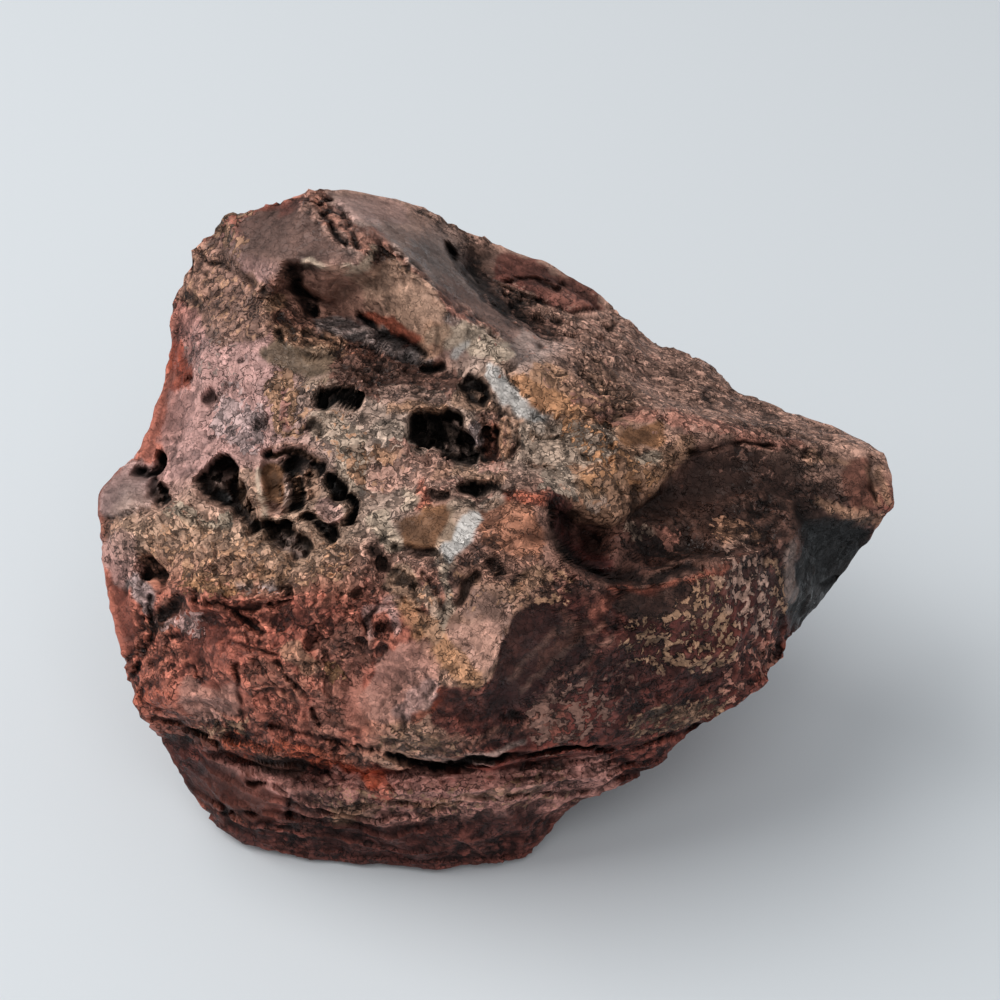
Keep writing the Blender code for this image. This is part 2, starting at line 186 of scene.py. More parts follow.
# %% Corners inside the outline: across, down, toward
CORNERS = {
    # The brown dome under the peak, and the lip of the ledge below it.
    "dome_left": (238, 248, -3.5),
    "dome_middle": (300, 225, -1.5),
    "lip_left": (287, 262, 0.6),
    "lip_middle": (322, 266, 2),
    "lip_right": (358, 264, 2.4),
    "lip_top": (378, 245, 1.4),
    # The grey scar that falls from the skyline to a sharp ridge.
    "scar1": (345, 205, -1.5),
    "scar2": (372, 228, 0.8),
    "scar3": (402, 252, 2),
    "scar4": (422, 278, 2.6),
    "scar5": (450, 308, 3.4),
    "scar6": (485, 335, 3.8),
    "scar7": (520, 362, 4.6),
    "scar_edge1": (450, 244, -6.5),
    "scar_edge2": (478, 285, -3.8),
    "scar_edge3": (510, 318, -1.2),
    "scar_edge4": (545, 352, 2),
    "gully1": (470, 262, -8),
    "gully2": (505, 300, -5.5),
    "gully3": (540, 332, -2.6),
    # The deep hollow under the ledge, and its lower sill.
    "hollow1": (294, 284, -4),
    "hollow2": (328, 306, -4.4),
    "hollow3": (368, 325, -2.6),
    "hollow4": (404, 349, -0.6),
    "hollow5": (429, 367, 1.6),
    "wall1": (384, 282, 0),
    "wall2": (418, 318, 1.6),
    "wall3": (345, 288, -2.6),
    "sill1": (262, 300, -0.5),
    "sill2": (278, 328, 0.2),
    "sill3": (300, 352, 1.5),
    "sill4": (340, 354, 2),
    "sill5": (378, 350, 1.2),
    "sill6": (425, 378, 3.5),
    # The pink cheek on the left.
    "cheek1": (222, 255, -6),
    "cheek2": (250, 285, -2.5),
    "cheek3": (266, 345, 1),
    "cheek4": (274, 400, 3.2),
    "cheek5": (262, 445, 4.2),
    "cheek6": (205, 468, 2),
    "cheek7": (166, 478, -0.8),
    "cheek8": (210, 350, -1.5),
    "cheek9": (195, 420, -1.2),
    # The pale porous band across the middle, and the plateau in front of it.
    "band1": (310, 385, 4),
    "band2": (362, 425, 6.2),
    "band3": (352, 475, 8),
    "band4": (400, 400, 4.5),
    "band5": (470, 385, 4.2),
    "band6": (420, 470, 9),
    "band7": (480, 470, 9.6),
    "band8": (540, 482, 9.6),
    "band9": (380, 520, 11.3),
    "plateau1": (430, 508, 12),
    "plateau2": (540, 500, 12.2),
    "plateau3": (546, 552, 13.6),
    "plateau4": (455, 562, 14),
    "plateau5": (500, 545, 13.6),
    # The nose, the blunt ridge that comes nearest.
    "nose_top": (470, 575, 14.2),
    "nose_right": (517, 605, 15.8),
    "nose_edge": (505, 640, 15.8),
    "nose_low": (478, 682, 15.3),
    "nose_left": (438, 690, 13.8),
    "nose_middle": (440, 640, 14.6),
    "nose_foot": (405, 735, 11.8),
    "nose_lip": (392, 762, 9),
    # The crusted strip between the band and the dark slab.
    "crust1": (505, 370, 4),
    "crust2": (530, 415, 6),
    "crust3": (560, 395, 4.6),
    "crust4": (600, 400, 4),
    "crust5": (620, 418, 4.6),
    "crust6": (615, 470, 7.6),
    "crust7": (580, 495, 9.4),
    "crust8": (645, 473, 6.2),
    # The dark slab along the upper right, and its light lower edge.
    "slab1": (560, 300, -6.2),
    "slab2": (590, 340, -4),
    "slab3": (640, 385, -2),
    "slab4": (700, 400, -3),
    "slab5": (790, 428, -4),
    "slab_edge1": (565, 365, 2.8),
    "slab_edge2": (650, 412, 3),
    "slab_edge3": (700, 425, 2.5),
    "slab_edge4": (745, 434, 1.4),
    "slab_edge5": (800, 443, 0),
    "slab_edge6": (862, 453, -1.8),
    # The long dark scoop under the slab, and its rim.
    "scoop1": (700, 447, 2.6),
    "scoop2": (742, 440, 1.6),
    "scoop3": (650, 500, 3.6),
    "scoop4": (720, 490, 2),
    "scoop5": (790, 490, 0.6),
    "scoop6": (620, 522, 6.2),
    "scoop7": (690, 527, 4.6),
    "scoop8": (750, 530, 3.4),
    "scoop9": (590, 545, 6.5),
    "scoop10": (650, 556, 6.4),
    "scoop11": (700, 552, 5.6),
    "scoop12": (565, 520, 8),
    "rim1": (549, 505, 12),
    "rim2": (553, 540, 12.6),
    "rim3": (576, 567, 13.2),
    "rim4": (610, 582, 13.6),
    "rim5": (650, 584, 12.6),
    "rim6": (700, 576, 10.6),
    "rim7": (742, 556, 8),
    "rim8": (790, 536, 4.2),
    # The blunt right end and the glassy black facet under it.
    "end1": (862, 500, -0.4),
    "end2": (868, 516, -0.8),
    "jet4": (806, 522, 1.4),
    "jet5": (788, 600, 3.6),
    # The dark face on the front right.
    "front1": (566, 600, 15),
    "front2": (618, 602, 13.6),
    "front3": (600, 645, 13.4),
    "front4": (700, 610, 10.3),
    "front5": (770, 590, 5.6),
    "front6": (700, 672, 7.6),
    "front7": (610, 710, 9.8),
    "front8": (500, 735, 10.2),
    "crack1": (480, 760, 9.6),
    "crack2": (560, 746, 8.6),
    "crack3": (640, 740, 5.4),
    # The bumpy red face on the front left, under a low brow.
    "brow1": (142, 592, 4),
    "brow2": (192, 600, 8.6),
    "brow3": (250, 602, 11.8),
    "brow4": (300, 597, 13.2),
    "brow5": (360, 600, 14.4),
    "brow6": (412, 618, 15),
    "bed1": (130, 535, 2.6),
    "bed2": (190, 525, 5.6),
    "bed3": (250, 540, 8),
    "bed4": (300, 562, 10.6),
    "lobe": (128, 492, 0.4),
    "face1": (162, 640, 5.4),
    "face2": (152, 692, 5),
    "face3": (235, 660, 10.6),
    "under1": (200, 618, 7.4),
    "under2": (255, 622, 10.2),
    "under3": (305, 620, 12.2),
    "face4": (232, 702, 8.6),
    "face5": (298, 655, 12.8),
    "face6": (312, 722, 9.6),
    "face7": (345, 690, 11),
    "face8": (352, 740, 9.4),
    "face9": (400, 680, 12.6),
    # The ledge over the bedding crack, and the lower slab that steps in below it.
    "ledge1": (215, 738, 4.6),
    "ledge2": (300, 748, 7),
    "ledge3": (350, 758, 8),
    "step1": (205, 756, 0.6),
    "step2": (270, 768, 2),
    "step3": (340, 772, 3.6),
    "step4": (400, 772, 5),
    "step5": (480, 773, 6),
    "step6": (560, 763, 4.6),
    "step7": (620, 761, 2),
    "shelf1": (250, 776, 2.6),
    "shelf2": (290, 790, 3.6),
    "shelf3": (350, 790, 5),
    "shelf4": (410, 793, 6.2),
    "shelf5": (480, 791, 7),
    "shelf6": (550, 783, 5.6),
    "shelf7": (608, 777, 3),
    "base1": (245, 812, 0.2),
    "base2": (320, 825, 0.6),
    "base3": (400, 830, 2.2),
    "base4": (470, 825, 2.4),
    "base5": (520, 812, 2),
}

# %% Corners of the far side: right, back, and up from the floor
FAR_SIDE = {
    "floor1": (1.5, -9, -0.5),
    "floor2": (4.5, -1, -0.5),
    "floor3": (2, 6.5, -0.5),
    "floor4": (-7, 8.5, -0.5),
    "floor5": (-15, 5.5, -0.5),
    "floor6": (-18, -3, -0.5),
    "floor7": (-16, -10, -0.4),
    "low1": (13, -3, 5.5),
    "low2": (11.5, 8, 5),
    "low3": (4, 14, 5),
    "low4": (-8, 16, 5.5),
    "low5": (-19, 12, 5.5),
    "low6": (-24, 3, 5.5),
    "low7": (-25.5, -5, 8),
    "low8": (-21.5, -9, 2),
    "mid0": (20.3, -5.5, 13),
    "mid1": (21, 3, 13),
    "mid2": (20, 9, 15),
    "mid3": (13, 14.5, 16),
    "mid4": (3, 19, 17),
    "mid5": (-8, 21, 18),
    "mid6": (-19, 19, 18),
    "mid7": (-26, 12.5, 17),
    "mid8": (-29, 3, 15),
    "high1": (26.5, 6, 20),
    "high2": (17, 13.5, 22.5),
    "high3": (7, 19, 25),
    "high4": (-3, 21.3, 28),
    "high5": (-13, 20.5, 31),
    "high6": (-22, 19, 27),
    "high7": (-26.5, 14, 23),
}

# %% Ridges and valleys: each line runs through the corners that it names
LINES = (
    "peak scar1 scar2 scar3 scar4 scar5 scar6 scar7",
    "sky3 scar_edge1 scar_edge2 scar_edge3 scar_edge4",
    "sky4 gully1 gully2 gully3 scar_edge4",
    "dome_left lip_left lip_middle lip_right lip_top scar2",
    "lip_left hollow1 hollow2 hollow3 hollow4 hollow5",
    "lip_left sill1 sill2 sill3 sill4 sill5 sill6 hollow5",
    "left15 cheek1 cheek2 cheek3 cheek4 cheek5 cheek6 cheek7 left9",
    "scar_edge4 slab_edge1 crust3 crust4 crust5 slab_edge2 slab_edge3 slab_edge4 slab_edge5",
    "slab_edge5 slab_edge6 sky15",
    "crust8 scoop1 scoop2 slab_edge4",
    "plateau2 rim1 rim2 rim3 rim4 rim5 rim6 rim7 rim8",
    "scoop12 scoop6 scoop7 scoop8 rim8",
    "nose_top nose_right nose_edge nose_low nose_left nose_foot nose_lip",
    "nose_right front1 rim4",
    "left5 brow1 brow2 brow3 brow4 brow5 brow6 nose_middle",
    "left1 ledge1 ledge2 ledge3 nose_lip crack1 crack2 crack3 right5",
    "foot14 step1 step2 step3 step4 step5 step6 step7 foot1",
    "shelf1 shelf2 shelf3 shelf4 shelf5 shelf6 shelf7 foot2",
    "rim8 jet5 right1",
    "rim8 jet4 end2 tip2",
    "scar7 crust1 crust2 crust7 rim1",
)

# %% How rough each region is: its broken relief
RELIEF = {
    "sky": 0.3,
    "peak": 0.2,
    "tip": 0.6,
    "jet": 0.3,
    "right": 0.5,
    "foot": 0.4,
    "left": 0.5,
    "dome": 0.15,
    "lip": 0.3,
    "scar": 0.1,
    "gully": 0.6,
    "hollow": 0.3,
    "wall": 0.2,
    "sill": 0.5,
    "cheek": 0.35,
    "band": 1.0,
    "plateau": 0.8,
    "nose": 0.4,
    "crust": 1.0,
    "slab": 0.45,
    "scoop": 0.4,
    "rim": 0.6,
    "end": 0.6,
    "front": 0.5,
    "crack": 0.4,
    "brow": 1.2,
    "bed": 1.1,
    "lobe": 0.3,
    "under": 0.8,
    "face": 0.8,
    "ledge": 0.8,
    "step": 0.4,
    "shelf": 0.8,
    "base": 0.6,
    "floor": 0.6,
    "low": 1.4,
    "mid": 1.6,
    "high": 1.4,
}

# %% The skin of each region: how bumpy, how glossy, how porous, and its colour
FINISH = {
    "sky": (0.45, 0.3, 0.1, "hide"),
    "peak": (0.3, 0.7, 0.1, "brown"),
    "tip": (0.6, 0.4, 0.3, "maroon"),
    "jet": (0.12, 0.8, 0.03, "jet"),
    "right": (0.45, 0.3, 0.2, "maroon"),
    "foot": (0.35, 0.3, 0.3, "wine"),
    "left": (0.6, 0.5, 0.2, "red"),
    "dome": (0.12, 0.7, 0.05, "brown"),
    "lip": (0.35, 0.6, 0.1, "brown"),
    "scar": (0.04, 1.0, 0.02, "slate"),
    "gully": (0.6, 0.5, 0.2, "umber"),
    "hollow": (0.3, 0.5, 0.1, "nutmeg"),
    "wall": (0.35, 0.5, 0.12, "fawn"),
    "sill": (0.8, 0.5, 0.2, "chocolate"),
    "cheek": (0.25, 0.8, 0.08, "blush"),
    "band": (0.55, 0.45, 0.45, "bone"),
    "plateau": (0.6, 0.5, 0.25, "nutmeg"),
    "nose": (0.5, 0.6, 0.15, "clay"),
    "crust": (0.9, 0.5, 0.36, "crust"),
    "slab": (0.8, 0.45, 0.1, "hide"),
    "scoop": (0.35, 0.6, 0.07, "umber"),
    "rim": (0.4, 0.4, 0.15, "bistre"),
    "end": (0.6, 0.4, 0.3, "bistre"),
    "front": (0.45, 0.45, 0.14, "wine"),
    "crack": (0.4, 0.3, 0.3, "maroon"),
    "brow": (0.9, 0.45, 0.32, "russet"),
    "bed": (0.85, 0.45, 0.32, "sand"),
    "lobe": (0.6, 0.5, 0.2, "hazel"),
    "under": (0.9, 0.4, 0.35, "red"),
    "face": (0.8, 0.5, 0.25, "russet"),
    "ledge": (1.0, 0.3, 0.38, "chocolate"),
    "step": (0.4, 0.4, 0.3, "maroon"),
    "shelf": (0.55, 0.5, 0.15, "coral"),
    "base": (0.4, 0.4, 0.06, "wine"),
    "floor": (0.3, 0.2, 0.2, "maroon"),
    "low": (0.6, 0.3, 0.3, "maroon"),
    "mid": (0.6, 0.35, 0.3, "red"),
    "high": (0.6, 0.35, 0.3, "chestnut"),
}

# %% [markdown]
# ## The coarse body
#
# Inside the outline, triangles join the corners.  The ridge lines are kept as edges, so a
# crest stays a crest.  The far side shares the outline and is filled in the same way, so
# the two sheets close into one body.

# %% Triangles between the corners
def sheet_triangles(outline, inside, edges):
    """Triangles that fill the outline through the inside points, keeping the given edges."""
    points = np.vstack((outline, inside))
    flat = [tuple(point[:2]) for point in points]
    loop = list(range(len(outline)))
    verts, _, faces, _, _, _ = delaunay_2d_cdt(flat, edges, [loop], 1, 1e-5)
    if len(verts) != len(points):
        raise ValueError("two ridge lines cross without sharing a corner")
    return np.array(faces, int)


def facing(points, triangles, side):
    """The triangles wound so that they face the eye (side 1) or away from it (side -1)."""
    a, b, c = (points[triangles[:, corner], :2] for corner in range(3))
    turn = (b - a)[:, 0] * (c - a)[:, 1] - (b - a)[:, 1] * (c - a)[:, 0]
    return np.where((turn * side > 0.0)[:, None], triangles, triangles[:, ::-1])


def region_of(name):
    """The region in a corner's name: scar_edge3 belongs to scar."""
    return name.rstrip("0123456789").split("_")[0]


names = list(SKYLINE) + list(CORNERS)
place = {name: index for index, name in enumerate(names)}
outline = from_drawing(list(SKYLINE.values()))
inside = from_drawing(list(CORNERS.values()))
far = (np.array(list(FAR_SIDE.values()), float) + (0.0, 0.0, FLOOR)) @ view_axes().T
ridges = []
for line in LINES:
    chain = [place[name] for name in line.split()]
    ridges += list(zip(chain[:-1], chain[1:]))
show = sheet_triangles(outline, inside, ridges)
back = sheet_triangles(outline, far, [])
back = np.where(back >= len(outline), back + len(inside), back)
body = np.vstack((outline, inside, far))
faces = np.vstack((facing(body, show, 1.0), facing(body, back, -1.0)))
regions = np.array([region_of(name) for name in names + list(FAR_SIDE)])
print(f"{len(body)} corners and {len(faces)} triangles in the coarse body")

# %% [markdown]
# ## The fine surface
#
# The fine surface is a grid on two sheets that meet along the outline.  Think of a box with
# squares on its six sides: its top becomes the middle of the show side, its four walls
# become rings round that middle out to the outline, and its bottom becomes the far side.
# So the show side gets three times as many squares as the far side, and there are no poles.

# %% A closed grid of squares on two sheets
ACROSS = 157  # squares along each side of the box's top and bottom
DEEP = 78  # squares from its top to its bottom
SHEET_MIDDLE = np.array((-3.0, -3.0))  # mm right and up


def box_grid(size):
    """The lattice points on a box's six sides, and the triangles between them, facing out."""
    points, quads, count = [], [], 0
    for axis in range(3):
        steps = [np.arange(size[(axis + turn) % 3] + 1) for turn in (1, 2)]
        first, second = np.meshgrid(*steps, indexing="ij")
        square = np.arange(first.size).reshape(first.shape)
        corners = np.stack(
            (square[:-1, :-1], square[1:, :-1], square[1:, 1:], square[:-1, 1:]), axis=-1
        ).reshape(-1, 4)
        for side in (0, size[axis]):
            face = np.empty(first.shape + (3,), int)
            face[..., axis] = side
            face[..., (axis + 1) % 3] = first
            face[..., (axis + 2) % 3] = second
            quads.append((corners if side else corners[:, ::-1]) + count)
            points.append(face.reshape(-1, 3))
            count += first.size
    points, shared = np.unique(np.vstack(points), axis=0, return_inverse=True)
    quads = shared.reshape(-1)[np.vstack(quads)]
    return points, np.vstack((quads[:, (0, 1, 2)], quads[:, (0, 2, 3)]))


def on_the_sheets(points):
    """Polar places of the box's lattice points: share of the way to the outline, and angle.

    With x and y from -1 to 1 across the box, a square ring max(|x|, |y|) becomes a round
    one, and the angle runs evenly along each side of the ring.  The top takes the inner
    part of the show side and the walls the rest, in proportion to their squares.
    """
    x, y = (2.0 * points[:, :2] / ACROSS - 1.0).T
    ring = np.maximum(abs(x), abs(y))
    slope = np.where(abs(x) >= abs(y), y, -x) / np.where(abs(x) >= abs(y), x, y + (ring == 0))
    quarter = np.where(abs(x) >= abs(y), np.where(x < 0, 2, 0), np.where(y < 0, 3, 1))
    angle = math.pi / 2.0 * quarter + math.pi / 4.0 * np.where(ring > 0, slope, 0.0)
    inner = math.sqrt(ACROSS / (ACROSS + 4.0 * DEEP))
    wall = inner + (1.0 - inner) * (1.0 - points[:, 2] / DEEP)
    share = np.where(points[:, 2] == DEEP, inner * ring, np.where(points[:, 2], wall, ring))
    return share, angle


def outline_reach(angle):
    """Distance from the sheets' middle to the outline: cross(p, q - p) / cross(d, q - p)."""
    marks = outline[:, :2] - SHEET_MIDDLE
    corner_angle = np.arctan2(marks[:, 1], marks[:, 0]) % (2.0 * math.pi)
    order = np.argsort(corner_angle)
    marks = marks[order]
    after = np.searchsorted(corner_angle[order], angle % (2.0 * math.pi)) % len(marks)
    start, end = marks[after - 1], marks[after]
    run = end - start
    top = start[:, 0] * run[:, 1] - start[:, 1] * run[:, 0]
    return top / (np.cos(angle) * run[:, 1] - np.sin(angle) * run[:, 0])


def lie_on(flat, sheet):
    """For each flat place: the sheet's triangle there and the shares of its three corners.

    The corners' right and up, with a row of ones, make a matrix; its inverse turns a place
    into the three shares, and all are positive only in the right triangle.
    """
    corners = body[sheet][:, :, :2]
    matrix = np.concatenate((corners, np.ones_like(corners[:, :, :1])), axis=2)
    inverse = np.linalg.inv(np.swapaxes(matrix, 1, 2))
    places = np.column_stack((flat, np.ones(len(flat))))
    hit, shares = [], []
    for some in np.array_split(places, len(places) // 4000 + 1):
        weights = np.einsum("tij,nj->tni", inverse, some)
        best = weights.min(axis=2).argmax(axis=0)
        hit.append(best)
        shares.append(np.clip(weights[best, np.arange(len(some))], 0.0, 1.0))
    return np.concatenate(hit), np.concatenate(shares)


lattice, triangles = box_grid((ACROSS, ACROSS, DEEP))
share, angle = on_the_sheets(lattice)
reach = (share * outline_reach(angle))[:, None]
flat = SHEET_MIDDLE + reach * np.column_stack((np.cos(angle), np.sin(angle)))
on_show = lattice[:, 2] > 0
hit = np.empty(len(flat), int)
shares = np.empty((len(flat), 3))
hit[on_show], shares[on_show] = lie_on(flat[on_show], faces[: len(show)])
hit[~on_show], shares[~on_show] = lie_on(flat[~on_show], faces[len(show) :])
hit[~on_show] += len(show)
view = (body[faces[hit]] * shares[:, :, None]).sum(axis=1)
print(f"{len(view)} points and {len(triangles)} triangles in the fine surface")


# %% What each point takes from its corners
def carried(value_by_region):
    """A region's value at every point: the mix of its three corners' values by their shares."""
    at_corner = np.array([value_by_region[region] for region in regions], float)
    if at_corner.ndim == 1:
        return (at_corner[faces[hit]] * shares).sum(axis=1)
    return (at_corner[faces[hit]] * shares[:, :, None]).sum(axis=1)


# %% [markdown]
# ## Rounding the planes
#
# Between the ridges the coarse triangles are flat, and a real flake scar is gently curved.
# Each point moves toward the middle of its neighbours and then a little back out, over and
# over, which rounds the planes and keeps the size.  Points close to a ridge line hold still,
# so the ridges stay sharp.

# %% Neighbours, normals and distances
edges = np.unique(
    np.sort(np.vstack((triangles[:, :2], triangles[:, 1:], triangles[:, ::2])), axis=1), axis=0
)
neighbours = np.bincount(edges.ravel(), minlength=len(view)).astype(float)


def neighbour_mean(values):
    """The mean of each point's neighbours."""
    total = np.empty_like(values)
    for column in range(values.shape[1]):
        total[:, column] = np.bincount(
            edges[:, 0], values[edges[:, 1], column], len(values)
        ) + np.bincount(edges[:, 1], values[edges[:, 0], column], len(values))
    return total / neighbours[:, None]


def normals_of(points):
    """Unit normals: each the sum of the area vectors of its triangles."""
    a, b, c = (points[triangles[:, corner]] for corner in range(3))
    area = np.cross(b - a, c - a)
    total = np.empty_like(points)
    for column in range(3):
        spread = np.repeat(area[:, column], 3)
        total[:, column] = np.bincount(triangles.ravel(), spread, len(points))
    return total / np.linalg.norm(total, axis=1, keepdims=True)


def from_line(drawn, chain):
    """Distance of drawn points to a line through the chain's points, in drawing units."""
    chain = np.asarray(chain, float)
    nearest = np.full(len(drawn), 1e9)
    for start, end in zip(chain[:-1], chain[1:]):
        run = end - start
        along = np.clip((drawn - start) @ run / (run @ run), 0.0, 1.0)
        gap = np.linalg.norm(drawn - start - along[:, None] * run, axis=1)
        nearest = np.minimum(nearest, gap)
    return nearest


# %% Round the planes and keep the ridges
ROUNDING = 50  # turns of moving in and back out
RIDGE_REACH = 6.0  # drawing units from a ridge line within which points hold still

drawn = to_drawing(view)
shown = np.clip(normals_of(view)[:, 2] * 4.0, 0.0, 1.0)
from_ridge = np.full(len(view), 1e9)
for line in LINES:
    marks = [(SKYLINE | CORNERS)[name][:2] for name in line.split()]
    from_ridge = np.minimum(from_ridge, from_line(drawn, marks))
free = 1.0 - shown * np.exp(-((from_ridge / RIDGE_REACH) ** 2))
for _ in range(ROUNDING):
    view = view + (neighbour_mean(view) - view) * (0.5 * free)[:, None]
    view = view - (neighbour_mean(view) - view) * (0.52 * free)[:, None]

# %% [markdown]
# ## Noise and chips
#
# Two kinds of unevenness cover the stone.  Noise is a smooth random swell, and several
# sizes of it make a bumpy skin.  Chips are what a blow leaves: shallow bowls that meet in
# sharp ridges.  The square of the distance to the nearest of many scattered points has
# just that form.

# %% Noise and chips as functions of place
def cell_randoms(cells, seed, count):
    """count even random numbers for each whole-number cell, the same each run."""
    mixed = (cells * (73856093, 19349663, 83492791)).sum(axis=-1) + seed * 2654435761
    mixed = mixed.astype(np.int64)
    numbers = []
    for turn in range(count):
        mixed = (mixed ^ (mixed >> 13)) * 1274126177 + turn * 97
        mixed &= 0x7FFFFFFF
        numbers.append((mixed & 0xFFFFF) / float(0x100000))
    return np.stack(numbers, axis=-1)


def noise(points, size, seed):
    """Smooth gradient noise, about -0.7 to 0.7, with swells size millimetres apart.

    Each corner of a cell has a random slope g; the value is the sum of g . (p - corner),
    weighed by the fade f(t) = t^3 (6 t^2 - 15 t + 10).
    """
    scaled = points / size
    cell = np.floor(scaled).astype(np.int64)
    part = scaled - cell
    fade = part**3 * (part * (part * 6.0 - 15.0) + 10.0)
    value = np.zeros(len(points))
    for corner in np.ndindex(2, 2, 2):
        corner = np.array(corner)
        slope = cell_randoms(cell + corner, seed, 3) * 2.0 - 1.0
        weight = np.where(corner, fade, 1.0 - fade).prod(axis=1)
        value += weight * ((part - corner) * slope).sum(axis=1)
    return value


def many_noises(points, size, seed, octaves):
    """Noise of several sizes, each half the size and half the height of the one before."""
    value = np.zeros(len(points))
    for turn in range(octaves):
        value += noise(points, size / 2**turn, seed + turn) / 2**turn
    return value


def ridged(points, size, seed, octaves):
    """Sharp crests where the noise crosses zero: the sum of (1 - 4 |noise|) / 2^turn."""
    value = np.zeros(len(points))
    for turn in range(octaves):
        value += (1.0 - 4.0 * np.abs(noise(points, size / 2**turn, seed + turn))) / 2**turn
    return value


def chips(points, size, seed):
    """The square of the distance to the nearest scattered point, in units of size."""
    scaled = points / size
    cell = np.floor(scaled).astype(np.int64)
    nearest = np.full(len(points), 9.0)
    for offset in np.ndindex(3, 3, 3):
        near = cell + (np.array(offset) - 1)
        gap = ((near + cell_randoms(near, seed, 3) - scaled) ** 2).sum(axis=1)
        nearest = np.minimum(nearest, gap)
    return nearest


def facets(points, size, seed):
    """Flat facets at odd angles: g . (p - c) for the nearest scattered point c, g random."""
    scaled = points / size
    cell = np.floor(scaled).astype(np.int64)
    nearest = np.full(len(points), 9.0)
    value = np.zeros(len(points))
    for offset in np.ndindex(3, 3, 3):
        near = cell + (np.array(offset) - 1)
        random = cell_randoms(near, seed, 6)
        away = scaled - near - random[:, :3]
        gap = (away**2).sum(axis=1)
        closer = gap < nearest
        tilted = (away * (random[:, 3:] * 2.0 - 1.0)).sum(axis=1)
        value = np.where(closer, tilted, value)
        nearest = np.where(closer, gap, nearest)
    return value


# %% [markdown]
# ## Relief, region by region
#
# A flake scar is almost smooth; the porous band is the roughest.  The height of the chips
# is set for each region, and every point takes the mix of its three corners.

# %% Chips over the whole stone
SEED = 7
CHIP_SIZES = (7.0, 3.4)  # mm across the larger and the smaller chips
CHIP_HEIGHTS = (2.0, 1.1)  # mm of the ridges between them, where the relief is 1
CHIP_FAR = (0.8, 0.3)  # how high they are on the far side, as a share of the show side
CHIP_MIDDLE = 0.3  # the usual height of a chipped surface, as a share of its ridges

relief = carried(RELIEF)
normals = normals_of(view)
height = np.zeros(len(view))
for turn, (size, most) in enumerate(zip(CHIP_SIZES, CHIP_HEIGHTS)):
    share = CHIP_FAR[turn] + (1.0 - CHIP_FAR[turn]) * shown
    height += share * most * (chips(view, size, SEED + turn) - CHIP_MIDDLE)
view = view + normals * (height * relief)[:, None]
print(f"Relief: {np.ptp(height * relief):.1f} mm between the lowest and the highest chip")

# %% [markdown]
# ## Strokes
#
# Pits, cracks, smooth patches and stains are all drawn the same way: a line through a few
# points of the drawing with a half width, like a stroke of a brush.  A wobble moves the
# drawing under the brush, so that no stroke has a clean edge.

# %% Strokes and the wobble under them
WOBBLES = ((2.6, 14.0), (1.1, 9.0), (0.6, 3.0))  # mm from swell to swell, and drawing units of it


def wobbled(drawn, seed, amount):
    """The drawn places, each moved a little by noise of its place on the stone."""
    moved = drawn.copy()
    for turn, (size, most) in enumerate(WOBBLES):
        for column in range(2):
            moved[:, column] += amount * most * noise(view, size, seed + 2 * turn + column)
    return moved


def stroked(drawn, half_width, chain, soft):
    """1 within half_width of the chain, falling to 0 over the next soft drawing units."""
    return np.clip((half_width + soft - from_line(drawn, chain)) / soft, 0.0, 1.0)


def waxing(size, seed, low, middle, slope, high):
    """An amount that comes and goes over the stone: middle + slope * noise, held in bounds."""
    return np.clip(middle + slope * noise(view, size, seed), low, high)


